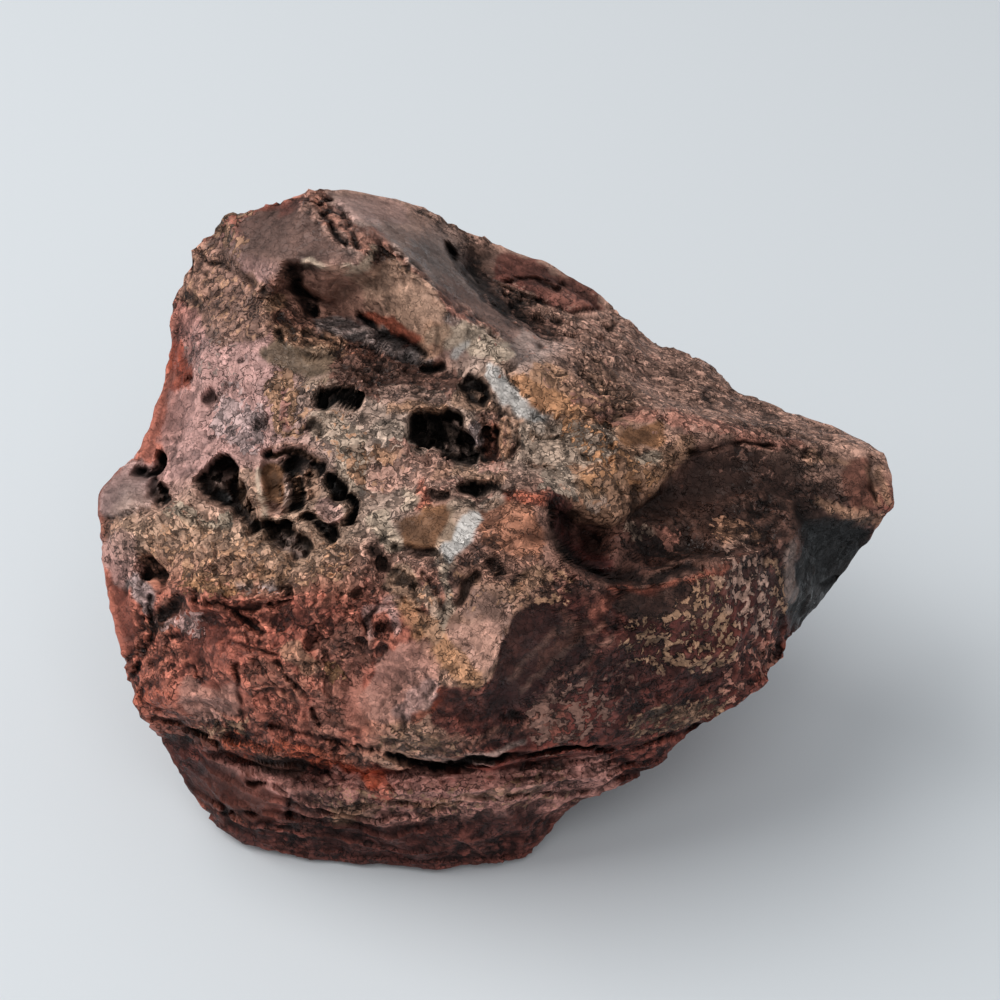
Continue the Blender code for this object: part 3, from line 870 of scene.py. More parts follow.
# %% Patches where the skin is smoother or rougher: half width, grain, points
SKIN = {
    "dome": (22, 0.1, ((262, 232), (300, 228), (318, 245))),
    "dome_low": (10, 0.12, ((270, 250), (340, 256))),
    "scar_top": (16, 0.03, ((352, 204), (400, 224), (428, 250), (462, 296))),
    "scar_low": (9, 0.03, ((420, 234), (470, 292), (500, 325), (525, 348))),
    "crest": (9, 1.0, ((316, 200), (335, 222), (352, 240), (385, 256), (412, 276))),
    "crest_low": (6, 1.0, ((425, 288), (455, 312), (490, 340))),
    "wall": (24, 0.22, ((350, 286), (385, 288), (415, 315))),
    "olive": (13, 0.1, ((280, 358), (302, 366), (322, 368))),
    "cheek": (24, 0.3, ((190, 400), (186, 440))),
    "cheek_edge": (10, 0.12, ((166, 350), (160, 410), (148, 450))),
    "cheek_wrinkled": (16, 0.8, ((236, 400), (248, 430))),
    "lobe": (17, 0.1, ((112, 498), (138, 484))),
    "left_side": (9, 0.15, ((108, 575), (118, 610), (122, 640))),
    "side_face": (12, 0.12, ((270, 474), (272, 502))),
    "tan_patch": (16, 0.1, ((418, 532), (440, 524))),
    "quartz": (9, 0.15, ((468, 520), (458, 545))),
    "strip": (6, 0.2, ((492, 374), (505, 398), (530, 415))),
    "smooth_tan": (10, 0.1, ((628, 432), (650, 434))),
    "bulge": (15, 0.15, ((500, 268), (550, 282), (588, 300))),
    "face_smooth": (26, 0.28, ((410, 668), (372, 712))),
    "face_red": (16, 0.3, ((200, 640), (228, 652))),
    "face_grey": (15, 0.35, ((195, 698), (225, 700))),
    "nose_pale": (12, 0.4, ((452, 590), (490, 610))),
    "under_nose": (18, 0.3, ((450, 706), (480, 712))),
    "dark_front": (20, 0.22, ((536, 622), (516, 684))),
    "dark_front_up": (13, 0.3, ((552, 610), (592, 616), (572, 648))),
    "dark_front_low": (12, 0.4, ((540, 700), (580, 680))),
    "orange": (9, 0.3, ((530, 384), (552, 402))),
    "yellow": (9, 0.35, ((602, 484), (642, 474))),
    "crust_pale": (8, 0.55, ((556, 438), (574, 452))),
    "ochre": (11, 0.35, ((198, 556), (224, 564))),
    "scoop_up": (16, 0.15, ((660, 500), (720, 476), (780, 470))),
    "block_front": (12, 0.2, ((635, 605), (668, 600))),
    "block": (18, 0.3, ((505, 518), (522, 536))),
    "foot_plate": (19, 0.08, ((205, 780), (262, 800))),
    "jet": (26, 0.3, ((830, 548), (815, 590))),
    "end_plate": (12, 0.25, ((858, 466), (862, 498))),
    "crust": (22, 0.72, ((545, 440), (585, 455), (595, 490))),
    "porous": (20, 0.6, ((345, 415), (350, 465))),
    "rough_rose": (22, 1.0, ((300, 605), (345, 610), (385, 585))),
    "rough_bed": (16, 1.0, ((180, 525), (240, 575))),
}
SKIN_EDGE = 8.0  # drawing units over which a patch fades

finish = carried({region: row[:3] for region, row in FINISH.items()})
grain, gloss, pores = finish.T
usual_grain = grain + 0.01
drawn = wobbled(to_drawing(view), 81, 0.5)
for half_width, amount, chain in SKIN.values():
    grain += (amount - grain) * stroked(drawn, half_width, chain, SKIN_EDGE) * shown
grain = np.clip(grain, 0.0, 1.5)
smoothed = np.clip(grain / usual_grain, 0.0, 1.1) ** 1.5
pores = pores * smoothed * waxing(2.3, 44, 0.1, 0.95, 1.7, 2.1)

# %% Crumpled skin: folds whose places are themselves bent by noise
FOLD_SIZE = 1.9  # mm
FOLD_HEIGHT = 0.28  # mm
FACETS = ((2.6, 0.46), (1.3, 0.28))  # mm across, and mm of height
BEND = 0.9  # mm

bent = view + BEND * np.column_stack([noise(view, 1.6, 24 + axis) for axis in range(3)])
fine = FOLD_HEIGHT * (ridged(bent, FOLD_SIZE, 31, 4) - 0.6)
for turn, (size, most) in enumerate(FACETS):
    fine += most * facets(bent, size, 22 + turn)
grain *= waxing(4.5, 36, 0.35, 0.8, 1.3, 1.3)
view = view + normals_of(view) * (fine * grain)[:, None]

# %% [markdown]
# ## Ropes and beds
#
# The dark slab on the upper right split along its grain, which left long low ropes that
# run down its length.  The foot of the stone is layered: each bed ends in a small step.

# %% Ropes along the slab and steps between the beds
def member(*some_regions):
    """How far each point belongs to the given regions, from 0 to 1."""
    return carried({region: float(region in some_regions) for region in RELIEF})


ROPE_TURN_DEG = -27.0  # the slab's length on the drawing, below level
ROPE_STRETCH = 4.5
ROPE_SIZE = 2.6  # mm
ROPE_HEIGHT = 0.24  # mm
ROPES_FROM = 480.0  # drawing units across, where the ropes begin
ROPES_FADE = (580.0, 700.0)  # drawing units across, over which they sink
BED_THICKNESS = 2.1  # mm
BED_STEP = 0.45  # mm
BED_WANDER = 1.4  # beds, up and down
BED_WANDER_SIZE = 12.0  # mm from swell to swell
STREAK_HEIGHT = 0.12  # mm, of the streaks that run along the beds
STREAK_STRETCH = 5.0

rope_turn = math.radians(ROPE_TURN_DEG)
along = view[:, 0] * math.cos(rope_turn) + view[:, 1] * math.sin(rope_turn)
over = view[:, 1] * math.cos(rope_turn) - view[:, 0] * math.sin(rope_turn)
roped = np.column_stack((along / ROPE_STRETCH, over, view[:, 2]))
on_slab = member("slab", "sky", "gully") * shown * (drawn[:, 0] > ROPES_FROM)
on_slab *= np.clip((ROPES_FADE[1] - drawn[:, 0]) / (ROPES_FADE[1] - ROPES_FADE[0]), 0.15, 1.0)
strands = member("slab", "sky", "gully", "sill", "plateau") * shown * smoothed
strands *= waxing(4.0, 43, 0.0, 0.45, 1.0, 0.8)
strands *= 1.0 - 0.9 * stroked(drawn, 24, SKIN["bulge"][2], 20.0)
ropes = ROPE_HEIGHT * on_slab * ridged(roped, ROPE_SIZE, 41, 3)

upright = view @ view_axes()
bed = upright[:, 2] / BED_THICKNESS + BED_WANDER * many_noises(view, BED_WANDER_SIZE, 51, 4)
step = bed - np.floor(bed)
in_beds = member("base", "foot", "shelf", "step", "ledge")
beds = BED_STEP * in_beds * (step**2 - 0.33) * waxing(7.0, 53, 0.0, 0.6, 1.5, 1.0)
streaked = np.column_stack((upright[:, :2] / STREAK_STRETCH, upright[:, 2]))
streaks = STREAK_HEIGHT * in_beds * many_noises(streaked, 1.0, 57, 3)
view = view + normals_of(view) * (ropes + beds + streaks)[:, None]

# %% [markdown]
# ## Pits
#
# Water dissolved soft grains and left pits, from pores to caves a centimetre wide.  Each
# big pit is a stroke sunk away from the eye, with rough walls and floor.  The bedding gap
# above the foot, where one bed has slipped off the next, is the longest.

# %% Big pits: half width in drawing units, depth in mm, points
PITS = {
    "upper": (9, 2.8, ((322, 400), (336, 394), (350, 399))),
    "upper_small": (4, 1.2, ((310, 423), (317, 428))),
    "upper_dot": (3, 1.0, ((352, 453), (355, 457))),
    "great": (14, 4.8, ((422, 428), (440, 430), (458, 442))),
    "great_low": (6, 4.0, ((460, 450), (474, 456))),
    "great_top": (4, 3.0, ((450, 413), (458, 418))),
    "great_right": (8, 2.0, ((490, 436), (490, 452))),
    "great_hook": (3, 1.6, ((418, 453), (424, 460))),
    "chamber": (9, 1.8, ((470, 386), (480, 394))),
    "slit": (4, 2.0, ((462, 489), (480, 487), (498, 485))),
    "slit_small": (3, 1.6, ((432, 492), (445, 497))),
    "cave": (13, 3.8, ((211, 482), (219, 473))),
    "cave_left": (7, 3.2, ((204, 478), (208, 490))),
    "cave_middle": (12, 3.8, ((216, 484), (226, 494))),
    "cave_arm": (8, 3.6, ((228, 497), (240, 510))),
    "cave_end": (5, 3.2, ((240, 510), (254, 528))),
    "basin": (15, 1.2, ((276, 474), (300, 474), (318, 486))),
    "roof": (2, 2.2, ((266, 455), (280, 450), (298, 450), (314, 456), (324, 470))),
    "roof_deep": (9, 2.8, ((290, 465), (304, 464), (316, 468))),
    "side_face": (8, 1.6, ((270, 474), (274, 500))),
    "blade_gap3": (1.6, 2.0, ((307, 480), (307, 500))),
    "blade_gap": (2.2, 3.0, ((289, 482), (291, 508))),
    "blade_gap2": (2.0, 2.6, ((298, 476), (298, 506))),
    "right_void": (7, 3.2, ((332, 483), (338, 490))),
    "knob_right": (3.5, 2.8, ((348, 500), (351, 512), (346, 524))),
    "knob_foot": (5, 2.4, ((306, 518), (318, 528), (330, 532))),
    "lower": (9, 3.0, ((276, 536), (290, 543), (302, 551))),
    "lower_top": (5, 3.2, ((268, 527), (282, 527))),
    "notch": (4, 2.6, ((138, 472), (152, 473), (162, 458))),
    "lobe_pit": (7, 2.0, ((156, 489), (161, 499))),
    "cheek_dot": (3, 1.2, ((207, 398), (212, 396))),
    "cheek_dot2": (2, 0.8, ((188, 378), (189, 381))),
    "corner": (2, 1.0, ((262, 294), (270, 288))),
    "left_pit": (5, 2.0, ((146, 563), (152, 572), (161, 576))),
    "top_notch": (5, 1.6, ((449, 247), (453, 251))),
    "sill_dark": (4, 1.6, ((424, 371), (439, 368))),
    "brow_dark": (3, 1.0, ((236, 609), (250, 606), (260, 601))),
    "brow_dark2": (3, 1.0, ((272, 601), (290, 593))),
    "brow_left": (5, 0.8, ((164, 616), (180, 602))),
    "nose_gap": (3, 1.0, ((458, 597), (466, 583), (478, 575))),
    "plateau_dark": (6, 0.8, ((495, 565), (500, 575))),
    "plateau_gap": (3, 1.0, ((438, 553), (418, 556), (396, 553))),
    "plateau_gap2": (3, 1.0, ((372, 552), (386, 566))),
    "dimple": (4, 0.8, ((380, 628), (392, 625))),
    "bedding": (2, 2.8, ((388, 761), (405, 764), (440, 767), (478, 763), (505, 760))),
    "bedding_mid": (0.5, 2.2, ((505, 760), (540, 753), (570, 748), (600, 749))),
    "hollow_notch": (5, 1.4, ((290, 266), (304, 266))),
    "hollow_left": (6, 1.8, ((292, 274), (297, 292), (312, 306))),
    "bowl_left": (2.5, 1.2, ((556, 508), (557, 532), (566, 556))),
    "bowl_foot": (3, 0.8, ((566, 556), (584, 571), (615, 576), (660, 576), (700, 567))),
}
PIT_WALL = 3.4  # drawing units over which a pit's wall falls
PIT_INSIDE = 1.5  # mm below the skin at which a point is fully inside a pit

drawn = wobbled(to_drawing(view), 61, 0.65)
sunk = np.zeros(len(view))
for half_width, deepest, chain in PITS.values():
    sunk = np.maximum(sunk, deepest * stroked(drawn, half_width, chain, PIT_WALL))
sunk *= shown
sunk = (sunk + neighbour_mean(sunk[:, None])[:, 0]) / 2.0
inside_pit = np.clip(sunk / PIT_INSIDE, 0.0, 1.0)
sunk *= 1.0 + 0.5 * facets(bent, 1.6, 65)
view[:, 2] -= sunk

# %% Pores: the nearest scattered point is the middle of a pore
PORE_SPACING = (2.6, 1.3)  # mm
PORE_DEPTH = (0.55, 0.35)  # mm
PORE_RADIUS = 0.3  # of the spacing
PORE_EDGE = 0.12  # of the spacing, over which its wall falls

porous = np.clip(member("band", "bed", "sill", "crust", "brow") * 1.2, 0.0, 1.0) * (grain > 0.4)
pored = np.zeros(len(view))
for turn, (spacing, deepest) in enumerate(zip(PORE_SPACING, PORE_DEPTH)):
    middle = np.sqrt(chips(bent, spacing, 71 + turn))
    here = waxing(6.0, 73 + turn, 0.0, 0.5, 2.5, 1.0)
    pored += deepest * here * np.clip((PORE_RADIUS - middle) / PORE_EDGE, 0.0, 1.0)
pored *= porous
view = view - normals_of(view) * pored[:, None]

# %% [markdown]
# ## Cracks
#
# Cracks are thin strokes.  Some follow the beds above the foot, some the edges of scars.

# %% Cracks: half width in drawing units, depth in mm, points
CRACKS = {
    "bedding_right": (2.6, 1.0, ((600, 749), (645, 744), (680, 734), (722, 719))),
    "ledge": (2.6, 0.8, ((150, 718), (176, 722), (206, 735), (222, 750), (250, 760))),
    "ledge_low": (2.6, 0.7, ((250, 760), (290, 762), (330, 772), (362, 790))),
    "ledge_top": (2.6, 0.6, ((262, 722), (300, 732), (345, 742), (380, 750))),
    "shelf": (2.6, 0.8, ((392, 803), (430, 806), (462, 802), (480, 797), (545, 794), (604, 786))),
    "shelf_up": (2.6, 0.5, ((440, 782), (466, 776), (500, 780), (560, 776))),
    "foot_plate": (2.6, 1.0, ((216, 800), (228, 812), (246, 815), (272, 822))),
    "foot_edge": (2.6, 1.2, ((250, 782), (280, 788), (290, 800), (288, 815))),
    "top_left": (2.6, 0.7, ((198, 250), (208, 261), (222, 264), (240, 272), (256, 286))),
    "crevice": (3.4, 1.8, ((360, 316), (382, 332), (405, 343), (426, 354))),
    "stripe_foot": (2.6, 0.8, ((322, 335), (345, 346), (372, 349), (400, 360), (424, 371))),
    "plate": (2.6, 0.7, ((278, 332), (288, 346), (308, 355), (332, 356), (346, 345))),
    "curtain": (2.6, 1.8, ((514, 416), (517, 428), (516, 445), (511, 462))),
    "curtain_fold": (2.6, 0.8, ((494, 425), (500, 440), (494, 462))),
    "crust": (2.6, 0.9, ((512, 466), (540, 468), (565, 478), (590, 492))),
    "crust2": (2.6, 0.8, ((520, 424), (532, 440), (560, 434), (588, 462))),
    "crust_edge": (2.6, 0.8, ((604, 425), (612, 445), (608, 470))),
    "wedge": (2.6, 0.3, ((437, 325), (434, 345), (430, 358))),
    "wedge2": (2.6, 0.3, ((468, 328), (470, 340), (490, 354), (512, 356))),
    "face_curve": (2.6, 0.8, ((276, 660), (292, 684), (308, 704), (320, 726))),
    "crescent": (3.0, 0.6, ((366, 640), (364, 622), (376, 608), (394, 606))),
    "groove": (3.6, 1.0, ((150, 600), (150, 640), (140, 664), (128, 680))),
    "brow": (3.0, 0.9, ((196, 600), (222, 604), (244, 622), (262, 632))),
    "face_step": (2.6, 0.6, ((232, 642), (256, 650), (275, 656))),
    "face_split": (2.6, 0.7, ((236, 664), (238, 690), (242, 716))),
    "bulge": (2.6, 1.0, ((505, 280), (530, 276), (556, 288), (575, 284))),
    "bulge_low": (2.6, 0.8, ((500, 286), (535, 300), (565, 312), (598, 308))),
    "slab_groove1": (3.4, 0.9, ((466, 268), (490, 302), (512, 322), (540, 346))),
    "slab_groove2": (2.6, 0.8, ((500, 306), (530, 318), (560, 322))),
    "slab_groove3": (2.6, 0.7, ((520, 300), (560, 312), (610, 330))),
    "slab_fold": (2.6, 0.6, ((600, 302), (622, 318), (600, 340))),
    "under_edge": (2.6, 0.9, ((690, 452), (720, 446), (745, 440), (772, 444))),
    "bowl": (3.0, 0.9, ((553, 510), (556, 545), (580, 568), (615, 582), (660, 582))),
    "end": (2.6, 0.6, ((872, 455), (872, 485), (880, 510))),
    "vein": (2.6, 0.6, ((424, 574), (436, 592), (444, 612))),
    "olive_dark": (2.6, 0.8, ((392, 582), (402, 604), (424, 612))),
    "dome_crack": (2.6, 0.8, ((326, 215), (334, 232), (346, 245))),
    "dome_crack2": (2.6, 0.7, ((346, 214), (352, 234), (358, 246))),
    "lobe_line": (2.6, 0.6, ((104, 520), (130, 512), (156, 510))),
    "jet_line": (2.6, 0.4, ((815, 586), (835, 578), (850, 576))),
}

drawn = wobbled(to_drawing(view), 85, 0.4)
cracked = np.zeros(len(view))
for half_width, deepest, chain in CRACKS.values():
    gap = from_line(drawn, chain)
    cracked = np.maximum(cracked, deepest * np.exp(-((gap / half_width) ** 2)))
cracked *= shown * waxing(1.7, 88, 0.15, 0.65, 1.8, 1.0)
view[:, 2] -= cracked
print(f"{len(SKIN)} patches, {len(PITS)} pits and {len(CRACKS)} cracks")

# %% [markdown]
# ## Setting the stone down
#
# The view frame is turned upright and whatever is below the floor is cut level: that is the
# small flat spot the stone rests on.  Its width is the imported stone's.

# %% Upright, level at the foot, in metres
points = view @ view_axes()
points[:, 2] = np.maximum(points[:, 2], FLOOR)
low, high = points.min(axis=0), points.max(axis=0)
middle = np.array((*((low + high) / 2.0)[:2], low[2]))
scale = CAD_WIDTH / (high[0] - low[0])
cad_middle = np.array((*((np.array(CAD_LOW) + CAD_HIGH) / 2.0)[:2], CAD_LOW[2]))
points = (points - middle) * scale + cad_middle
print(f"Size: {(np.ptp(points, axis=0) * 1000).round(1)} mm")

# %% [markdown]
# ## Colours
#
# Iron colours the quartz: maroon where it is dense, rose and brown where it is thin, ochre
# and orange where it has rusted.  Each region has a colour, and stains lie over the
# regions; a few strokes among them are painted highlights, sheen and shade.  A colour here is
# the stone's own, in linear light, except in those strokes.

# %% The palette
PALETTE = {
    "jet": (0.004, 0.003, 0.003),
    "umber": (0.040, 0.019, 0.014),
    "wine": (0.055, 0.014, 0.011),
    "maroon": (0.085, 0.019, 0.014),
    "chocolate": (0.112, 0.042, 0.029),
    "chestnut": (0.160, 0.082, 0.062),
    "brown": (0.112, 0.064, 0.052),
    "taupe": (0.360, 0.215, 0.165),
    "slate": (0.205, 0.145, 0.125),
    "steel": (0.110, 0.104, 0.104),
    "rust": (0.205, 0.036, 0.016),
    "red": (0.165, 0.044, 0.030),
    "russet": (0.285, 0.088, 0.060),
    "rose": (0.440, 0.190, 0.140),
    "pink": (0.450, 0.270, 0.240),
    "blush": (0.500, 0.285, 0.255),
    "salmon": (0.420, 0.210, 0.165),
    "lilac": (0.400, 0.310, 0.300),
    "peach": (0.400, 0.220, 0.140),
    "orange": (0.580, 0.290, 0.150),
    "ochre": (0.560, 0.310, 0.190),
    "fawn": (0.450, 0.275, 0.195),
    "tan": (0.165, 0.078, 0.038),
    "olive": (0.150, 0.102, 0.068),
    "crust": (0.245, 0.135, 0.085),
    "verdigris": (0.290, 0.255, 0.205),
    "pale": (0.480, 0.370, 0.280),
    "dust": (0.275, 0.155, 0.095),
    "bone": (0.360, 0.255, 0.205),
    "sand": (0.620, 0.390, 0.270),
    "clay": (0.300, 0.165, 0.115),
    "oxblood": (0.030, 0.007, 0.006),
    "hazel": (0.215, 0.118, 0.086),
    "shell": (0.520, 0.360, 0.340),
    "bistre": (0.070, 0.034, 0.026),
    "hide": (0.310, 0.180, 0.138),
    "nutmeg": (0.240, 0.125, 0.095),
    "petal": (0.580, 0.320, 0.250),
    "ash": (0.600, 0.450, 0.350),
    "coral": (0.600, 0.280, 0.235),
    "sienna": (0.230, 0.092, 0.052),
    "white": (0.560, 0.530, 0.500),
}

# %% Stains and a few strokes of painted highlight, sheen and shade, from the first laid to the last: half width, colour, strength, points
STAINS_AND_PAINTED_LIGHT = {
    "shoulder": (20, "crust", 0.6, ((212, 245), (236, 228))),
    "cheek_high": (34, "hazel", 0.9, ((210, 275), (238, 312))),
    "cheek_top": (32, "peach", 0.35, ((205, 280), (240, 310))),
    "cheek_grey": (17, "slate", 0.35, ((205, 355), (232, 372))),
    "cheek_edge": (10, "rust", 0.9, ((172, 350), (178, 378))),
    "cheek_rim": (8, "russet", 0.9, ((164, 372), (158, 420), (146, 456))),
    "cheek_lilac": (17, "shell", 0.7, ((232, 412), (246, 436))),
    "dome_patch": (20, "brown", 0.9, ((262, 232), (300, 226), (322, 246))),
    "crest": (8, "chocolate", 0.75, ((318, 200), (350, 230), (388, 256), (420, 284))),
    "crest_low": (6, "rust", 0.5, ((440, 296), (490, 334))),
    # Painted highlight: a pale line along the lip's lit edge.
    "lip_rim_highlight": (1.6, "pale", 0.8, ((306, 264), (330, 268), (360, 267), (376, 248))),
    "corner_yellow": (5, "ochre", 0.8, ((272, 304), (282, 298))),
    "hollow_dark": (13, "nutmeg", 0.8, ((292, 276), (306, 300), (320, 316))),
    "hollow_maroon": (20, "nutmeg", 0.8, ((328, 284), (345, 296))),
    "wall": (22, "fawn", 0.8, ((392, 286), (425, 318))),
    "hollow_rust": (6, "rust", 0.85, ((362, 316), (392, 326), (418, 342))),
    "stripe": (8, "steel", 0.8, ((328, 322), (358, 330), (392, 345), (424, 362))),
    "plate": (11, "crust", 0.8, ((284, 334), (312, 345), (336, 346))),
    "plate_foot": (3, "olive", 0.8, ((300, 350), (334, 352))),
    "olive": (13, "olive", 0.95, ((278, 356), (300, 366), (322, 368))),
    "sill_brown": (15, "chestnut", 0.8, ((352, 372), (400, 382), (440, 386))),
    "wedge": (11, "pale", 0.85, ((440, 338), (462, 336), (498, 350))),
    "wedge_tan": (8, "crust", 0.7, ((432, 350), (436, 330))),
    "wedge_white": (3, "white", 0.7, ((456, 353), (466, 346))),
    "band_ochre": (8, "crust", 0.8, ((280, 384), (284, 424))),
    "band_rust": (3, "rust", 0.6, ((284, 400), (288, 426))),
    "band_pale": (14, "pale", 0.7, ((322, 422), (350, 440), (356, 486))),
    "band_green": (9, "verdigris", 0.35, ((378, 428), (400, 432))),
    "band_face": (8, "brown", 0.8, ((388, 396), (440, 398))),
    "band_ledge": (2.5, "ochre", 0.7, ((388, 407), (444, 405))),
    "chamber": (9, "crust", 0.7, ((462, 398), (492, 404))),
    "curtain": (14, "chestnut", 0.9, ((492, 424), (496, 452))),
    "orange_patch": (12, "orange", 0.9, ((524, 384), (546, 402), (572, 404))),
    "orange_smooth": (8, "ochre", 0.8, ((536, 370), (554, 378))),
    "strip": (8, "bone", 0.9, ((497, 372), (505, 394), (520, 410), (548, 428))),
    "strip_white": (6, "white", 0.95, ((497, 372), (503, 388), (513, 402), (526, 414), (540, 424))),
    "crust_rose": (9, "rose", 0.6, ((580, 402), (612, 414))),
    "crust_pale": (18, "ash", 0.8, ((536, 444), (562, 452), (596, 440))),
    "crust_low": (12, "ash", 0.7, ((560, 476), (592, 496))),
    "smooth_tan": (10, "tan", 0.95, ((628, 434), (654, 434))),
    "yellow_rim": (8, "crust", 0.7, ((600, 482), (640, 478), (668, 458), (690, 440))),
    "rim_ochre": (3, "ochre", 0.7, ((616, 488), (645, 480), (670, 464))),
    "white_bit": (4, "pale", 0.9, ((642, 460), (656, 454))),
    "rose_band": (22, "petal", 0.6, ((372, 470), (420, 462), (480, 474))),
    "band_rose": (14, "petal", 0.8, ((378, 480), (405, 474), (440, 468))),
    "slit_brown": (4, "crust", 0.7, ((440, 474), (500, 476))),
    "red_spot": (6, "rust", 0.7, ((424, 486), (422, 502))),
    "white_spot": (6, "pale", 0.8, ((405, 492), (412, 500))),
    "tan_patch": (17, "tan", 0.95, ((416, 532), (440, 524))),
    "pale_left": (9, "pale", 0.9, ((382, 522), (390, 546))),
    "quartz_bed": (12, "pale", 0.5, ((464, 512), (450, 556))),
    "quartz": (8, "white", 0.98, ((470, 520), (464, 536), (454, 550))),
    "block": (22, "sienna", 0.85, ((502, 520), (520, 540))),
    "block_top": (6, "rust", 0.8, ((506, 494), (540, 498))),
    "plate_pale": (6, "verdigris", 0.4, ((486, 504), (498, 500))),
    "nose_ochre": (14, "chestnut", 0.75, ((478, 560), (520, 572))),
    "nose_crumb": (8, "peach", 0.7, ((512, 590), (540, 580))),
    "nose_lilac": (13, "pink", 0.25, ((450, 582), (480, 606), (502, 616))),
    "nose_peach": (15, "petal", 0.6, ((468, 632), (490, 636), (478, 656))),
    "nose_gold": (9, "orange", 0.75, ((428, 626), (446, 660), (472, 676))),
    "nose_vein": (2.5, "pale", 0.8, ((448, 560), (444, 580), (450, 606), (440, 634))),
    "nose_white": (5, "pale", 0.6, ((426, 590), (438, 612))),
    "olive_low": (11, "olive", 0.8, ((398, 580), (412, 600))),
    "yellow_edge": (4, "ochre", 0.85, ((408, 604), (424, 618), (436, 636))),
    "orange_edge": (5, "orange", 0.7, ((404, 612), (420, 630))),
    "face_pale": (24, "salmon", 0.8, ((412, 668), (388, 700))),
    "face_light": (9, "pink", 0.7, ((426, 690), (404, 712))),
    "face_rose": (24, "rose", 0.6, ((346, 650), (340, 712))),
    "face_orange": (4, "orange", 0.6, ((320, 668), (340, 669))),
    "dimple_rim": (3, "pink", 0.8, ((368, 636), (370, 612), (392, 600), (396, 628))),
    "under_nose": (22, "maroon", 0.95, ((452, 708), (490, 702))),
    "red_edge": (3, "rust", 0.7, ((440, 694), (428, 712), (410, 724))),
    "beads": (4, "crust", 0.5, ((388, 736), (430, 744), (452, 746))),
    # Painted highlight: a light grey line along the upper lip of the bedding crack.
    "crack_lip_highlight": (2, "slate", 0.7, ((420, 756), (455, 761), (490, 755), (520, 744))),
    "lobe": (19, "lilac", 0.45, ((112, 500), (140, 484))),
    "bed_olive": (12, "fawn", 0.4, ((150, 536), (210, 545), (246, 556))),
    "bed_gold": (7, "orange", 0.6, ((190, 580), (242, 590))),
    "bed_pink": (14, "pink", 0.7, ((122, 545), (128, 574))),
    "bed_white": (6, "lilac", 0.75, ((250, 580), (264, 574), (272, 586))),
    "bed_row": (4, "pale", 0.7, ((168, 506), (200, 522), (230, 520))),
    "left_side": (9, "russet", 0.85, ((108, 580), (120, 640))),
    "left_grey": (8, "lilac", 0.75, ((134, 584), (148, 600))),
    "recess": (8, "umber", 0.8, ((160, 625), (178, 604))),
    "recess_low": (4, "maroon", 0.8, ((148, 630), (142, 660), (130, 678))),
    "face_red": (17, "red", 0.8, ((190, 636), (228, 652), (200, 668))),
    "face_bits": (5, "pink", 0.7, ((170, 622), (196, 628))),
    "face_grey": (15, "salmon", 0.75, ((195, 698), (226, 702))),
    "face_dark": (13, "chocolate", 0.7, ((262, 668), (290, 690))),
    "face_brown": (9, "crust", 0.7, ((290, 652), (310, 668))),
    "face_low": (8, "maroon", 0.6, ((250, 730), (340, 744))),
    "crumbs": (4, "peach", 0.5, ((205, 728), (240, 724))),
    "corner_red": (9, "rust", 0.5, ((140, 692), (162, 704))),
    "orange_red": (9, "rust", 1.0, ((232, 742), (252, 750))),
    "rust_strip": (5, "rust", 0.9, ((256, 742), (290, 750), (336, 762), (372, 782))),
    "rust_end": (9, "rust", 0.8, ((374, 780), (388, 792))),
    "shelf_light": (6, "coral", 0.9, ((338, 776), (354, 780))),
    "step_dark": (8, "umber", 0.8, ((262, 764), (300, 768))),
    "shelf_red": (9, "coral", 0.6, ((410, 785), (500, 782), (600, 768))),
    "shelf_line": (2, "crust", 0.7, ((400, 802), (436, 806), (466, 800), (540, 788))),
    "foot_plate": (18, "red", 0.8, ((212, 788), (262, 804))),
    "foot_wine": (20, "oxblood", 0.8, ((310, 796), (350, 810))),
    "foot_olive": (6, "crust", 0.55, ((340, 816), (372, 808))),
    "slab_bulge": (14, "maroon", 0.8, ((510, 268), (550, 285), (588, 298))),
    # Painted shade: the low ground to the right of the scar's edge.
    "slab_gully_shade": (9, "umber", 0.75, ((486, 286), (510, 314), (552, 326))),
    # Painted sheen: the top of the grey scar is lightened as if it reflected the sky.
    "scar_sheen": (12, "pink", 0.35, ((352, 204), (392, 212))),
    "scar_brown": (9, "chestnut", 0.6, ((448, 286), (505, 335))),
    # Painted shade: a black line in the step along the scar's edge.
    "gully_shade_line": (4, "jet", 0.7, ((452, 250), (478, 284), (502, 312))),
    "slab_rose": (9, "hide", 0.3, ((570, 330), (640, 352))),
    "slab_edge": (4, "rose", 0.75, ((630, 412), (690, 422), (745, 434), (800, 446))),
    "slab_crumb": (3, "peach", 0.6, ((808, 458), (850, 458))),
    "scoop_brown": (16, "umber", 0.6, ((730, 474), (790, 476))),
    # Painted shade: the left end of the scoop is darkened, and its left wall is nearly black.
    "scoop_shade": (20, "oxblood", 0.35, ((568, 520), (580, 545), (610, 560), (650, 548))),
    "scoop_left_shade": (8, "oxblood", 0.95, ((557, 500), (560, 530), (573, 552), (602, 566))),
    "rim_line": (2, "rust", 0.4, ((610, 588), (650, 588), (700, 580), (742, 560))),
    "rim_crumb": (5, "ochre", 0.6, ((722, 532), (756, 536))),
    "rim_crumb2": (4, "rose", 0.6, ((656, 528), (670, 540))),
    "rim_crumb3": (3, "pale", 0.6, ((626, 528), (642, 530))),
    "block_front": (15, "umber", 0.9, ((632, 606), (690, 600))),
    "front_dark": (26, "oxblood", 0.95, ((540, 624), (510, 700))),
    "front_umber": (20, "oxblood", 0.95, ((575, 655), (545, 690))),
    "streak1": (1.5, "chestnut", 0.6, ((600, 626), (562, 652), (522, 690))),
    "streak2": (1.2, "chestnut", 0.5, ((586, 618), (548, 640), (508, 676))),
    "streak3": (2.0, "chestnut", 0.5, ((612, 640), (574, 668), (538, 706))),
